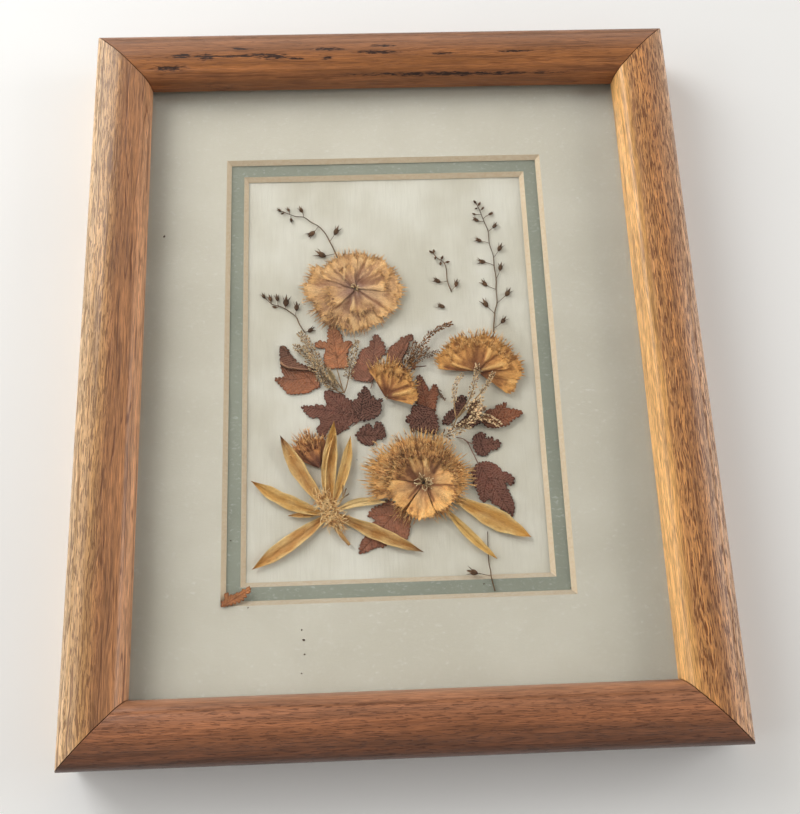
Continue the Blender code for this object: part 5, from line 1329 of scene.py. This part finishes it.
# === back of the frame ==========================================================================
# A grey board behind the sheet, held by steel points pressed into the rails, and a sawtooth
# hanger nailed to the top rail.
board = Finish("grey_board", 0.95, Specular_IOR_Level=0.15)
pulp = board.mottle(0.7, detail=5.0, rough=0.7)
damp = board.mottle((45, 60, 40), detail=3.0)
colour = board.mix(board.between(pulp, 0.35, 0.7), rgb(146, 136, 120), rgb(170, 160, 142))
colour = board.mix(board.between(damp, 0.55, 0.75, 0.0, 0.4), colour, rgb(134, 118, 96))
dress("backing_board", board.paint(colour, board.relief(pulp, 0.06)))

steel = Finish("steel", 0.34, Metallic=1.0)
scratch, bloom = steel.mottle((4.0, 0.25, 0.5), detail=3.0), steel.mottle(2.2, detail=3.0)
colour = steel.mix(steel.between(bloom, 0.35, 0.7), rgb(188, 188, 186), rgb(160, 160, 158))
steel.paint(colour, steel.relief(scratch, 0.03))
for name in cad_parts:
    if name.startswith("framing_point") or name == "sawtooth_hanger":
        dress(name, steel.material)

# === floor, light and camera ====================================================================
# The frame lies on its back on a pale floor, in soft light from the left and above.  The camera
# looks down on it from beyond its lower end.
floor_finish = Finish("pale_floor", 0.9)
dust = floor_finish.mottle(60)
floor_finish.paint(floor_finish.mix(dust, rgb(252, 252, 251), rgb(255, 255, 254)))
floor_mesh = bpy.data.meshes.new("floor")
floor_mesh.from_pydata([(-2, -2, -0.0004), (2, -2, -0.0004), (2, 2, -0.0004), (-2, 2, -0.0004)], [],
                       [(0, 1, 2, 3)])
floor_mesh.materials.append(floor_finish.material)
floor = bpy.data.objects.new("floor", floor_mesh)
bpy.context.scene.collection.objects.link(floor)

world = bpy.data.worlds.new("studio")
world.use_nodes = True
sky = world.node_tree.nodes
air = sky["Background"]
air.inputs["Color"].default_value = (1.0, 0.97, 0.92, 1.0)
spots = {}
for kind in ("TexCoord", "SeparateXYZ", "Math"):
    spots[kind] = sky.new("ShaderNode" + kind)
world.node_tree.links.new(spots["TexCoord"].outputs["Generated"], spots["SeparateXYZ"].inputs[0])
spots["Math"].operation = "MULTIPLY"
# brighter towards the top of the picture, and dim overhead so that the glass stays clear
for axis, low, high, start, end in (("Y", -0.8, 0.4, 0.34, 0.78), ("Z", 0.74, 0.88, 1.0, 0.14)):
    level = sky.new("ShaderNodeMapRange")
    for socket, value in (("From Min", low), ("From Max", high), ("To Min", start), ("To Max", end)):
        level.inputs[socket].default_value = value
    world.node_tree.links.new(spots["SeparateXYZ"].outputs[axis], level.inputs["Value"])
    world.node_tree.links.new(level.outputs[0], spots["Math"].inputs[0 if axis == "Y" else 1])
world.node_tree.links.new(spots["Math"].outputs[0], air.inputs["Strength"])
bpy.context.scene.world = world
for name, place, size, power in (("window_light", (-0.66, 0.62, 0.56), 0.6, 5.8),
                                 ("side_light", (-1.0, -0.1, 0.45), 0.7, 2.8),
                                 ("fill_light", (1.0, 0.1, 0.45), 0.6, 3.5)):
    lamp = bpy.data.lights.new(name, "AREA")
    lamp.energy, lamp.size = power, size
    holder = bpy.data.objects.new(name, lamp)
    holder.location = place
    holder.rotation_euler = (-Vector(place)).to_track_quat("-Z", "Y").to_euler()
    bpy.context.scene.collection.objects.link(holder)

camera = bpy.data.objects.new("camera", bpy.data.cameras.new("camera"))
camera.location = Vector((-9.37, -115.56, 354.31)) * MM
camera.rotation_euler = [math.radians(angle) for angle in (16.062, -1.262, -2.116)]
camera.data.lens = 41.57
camera.data.clip_start = 0.01
bpy.context.scene.collection.objects.link(camera)
bpy.context.scene.camera = camera
bpy.context.scene.view_settings.view_transform = "Standard"
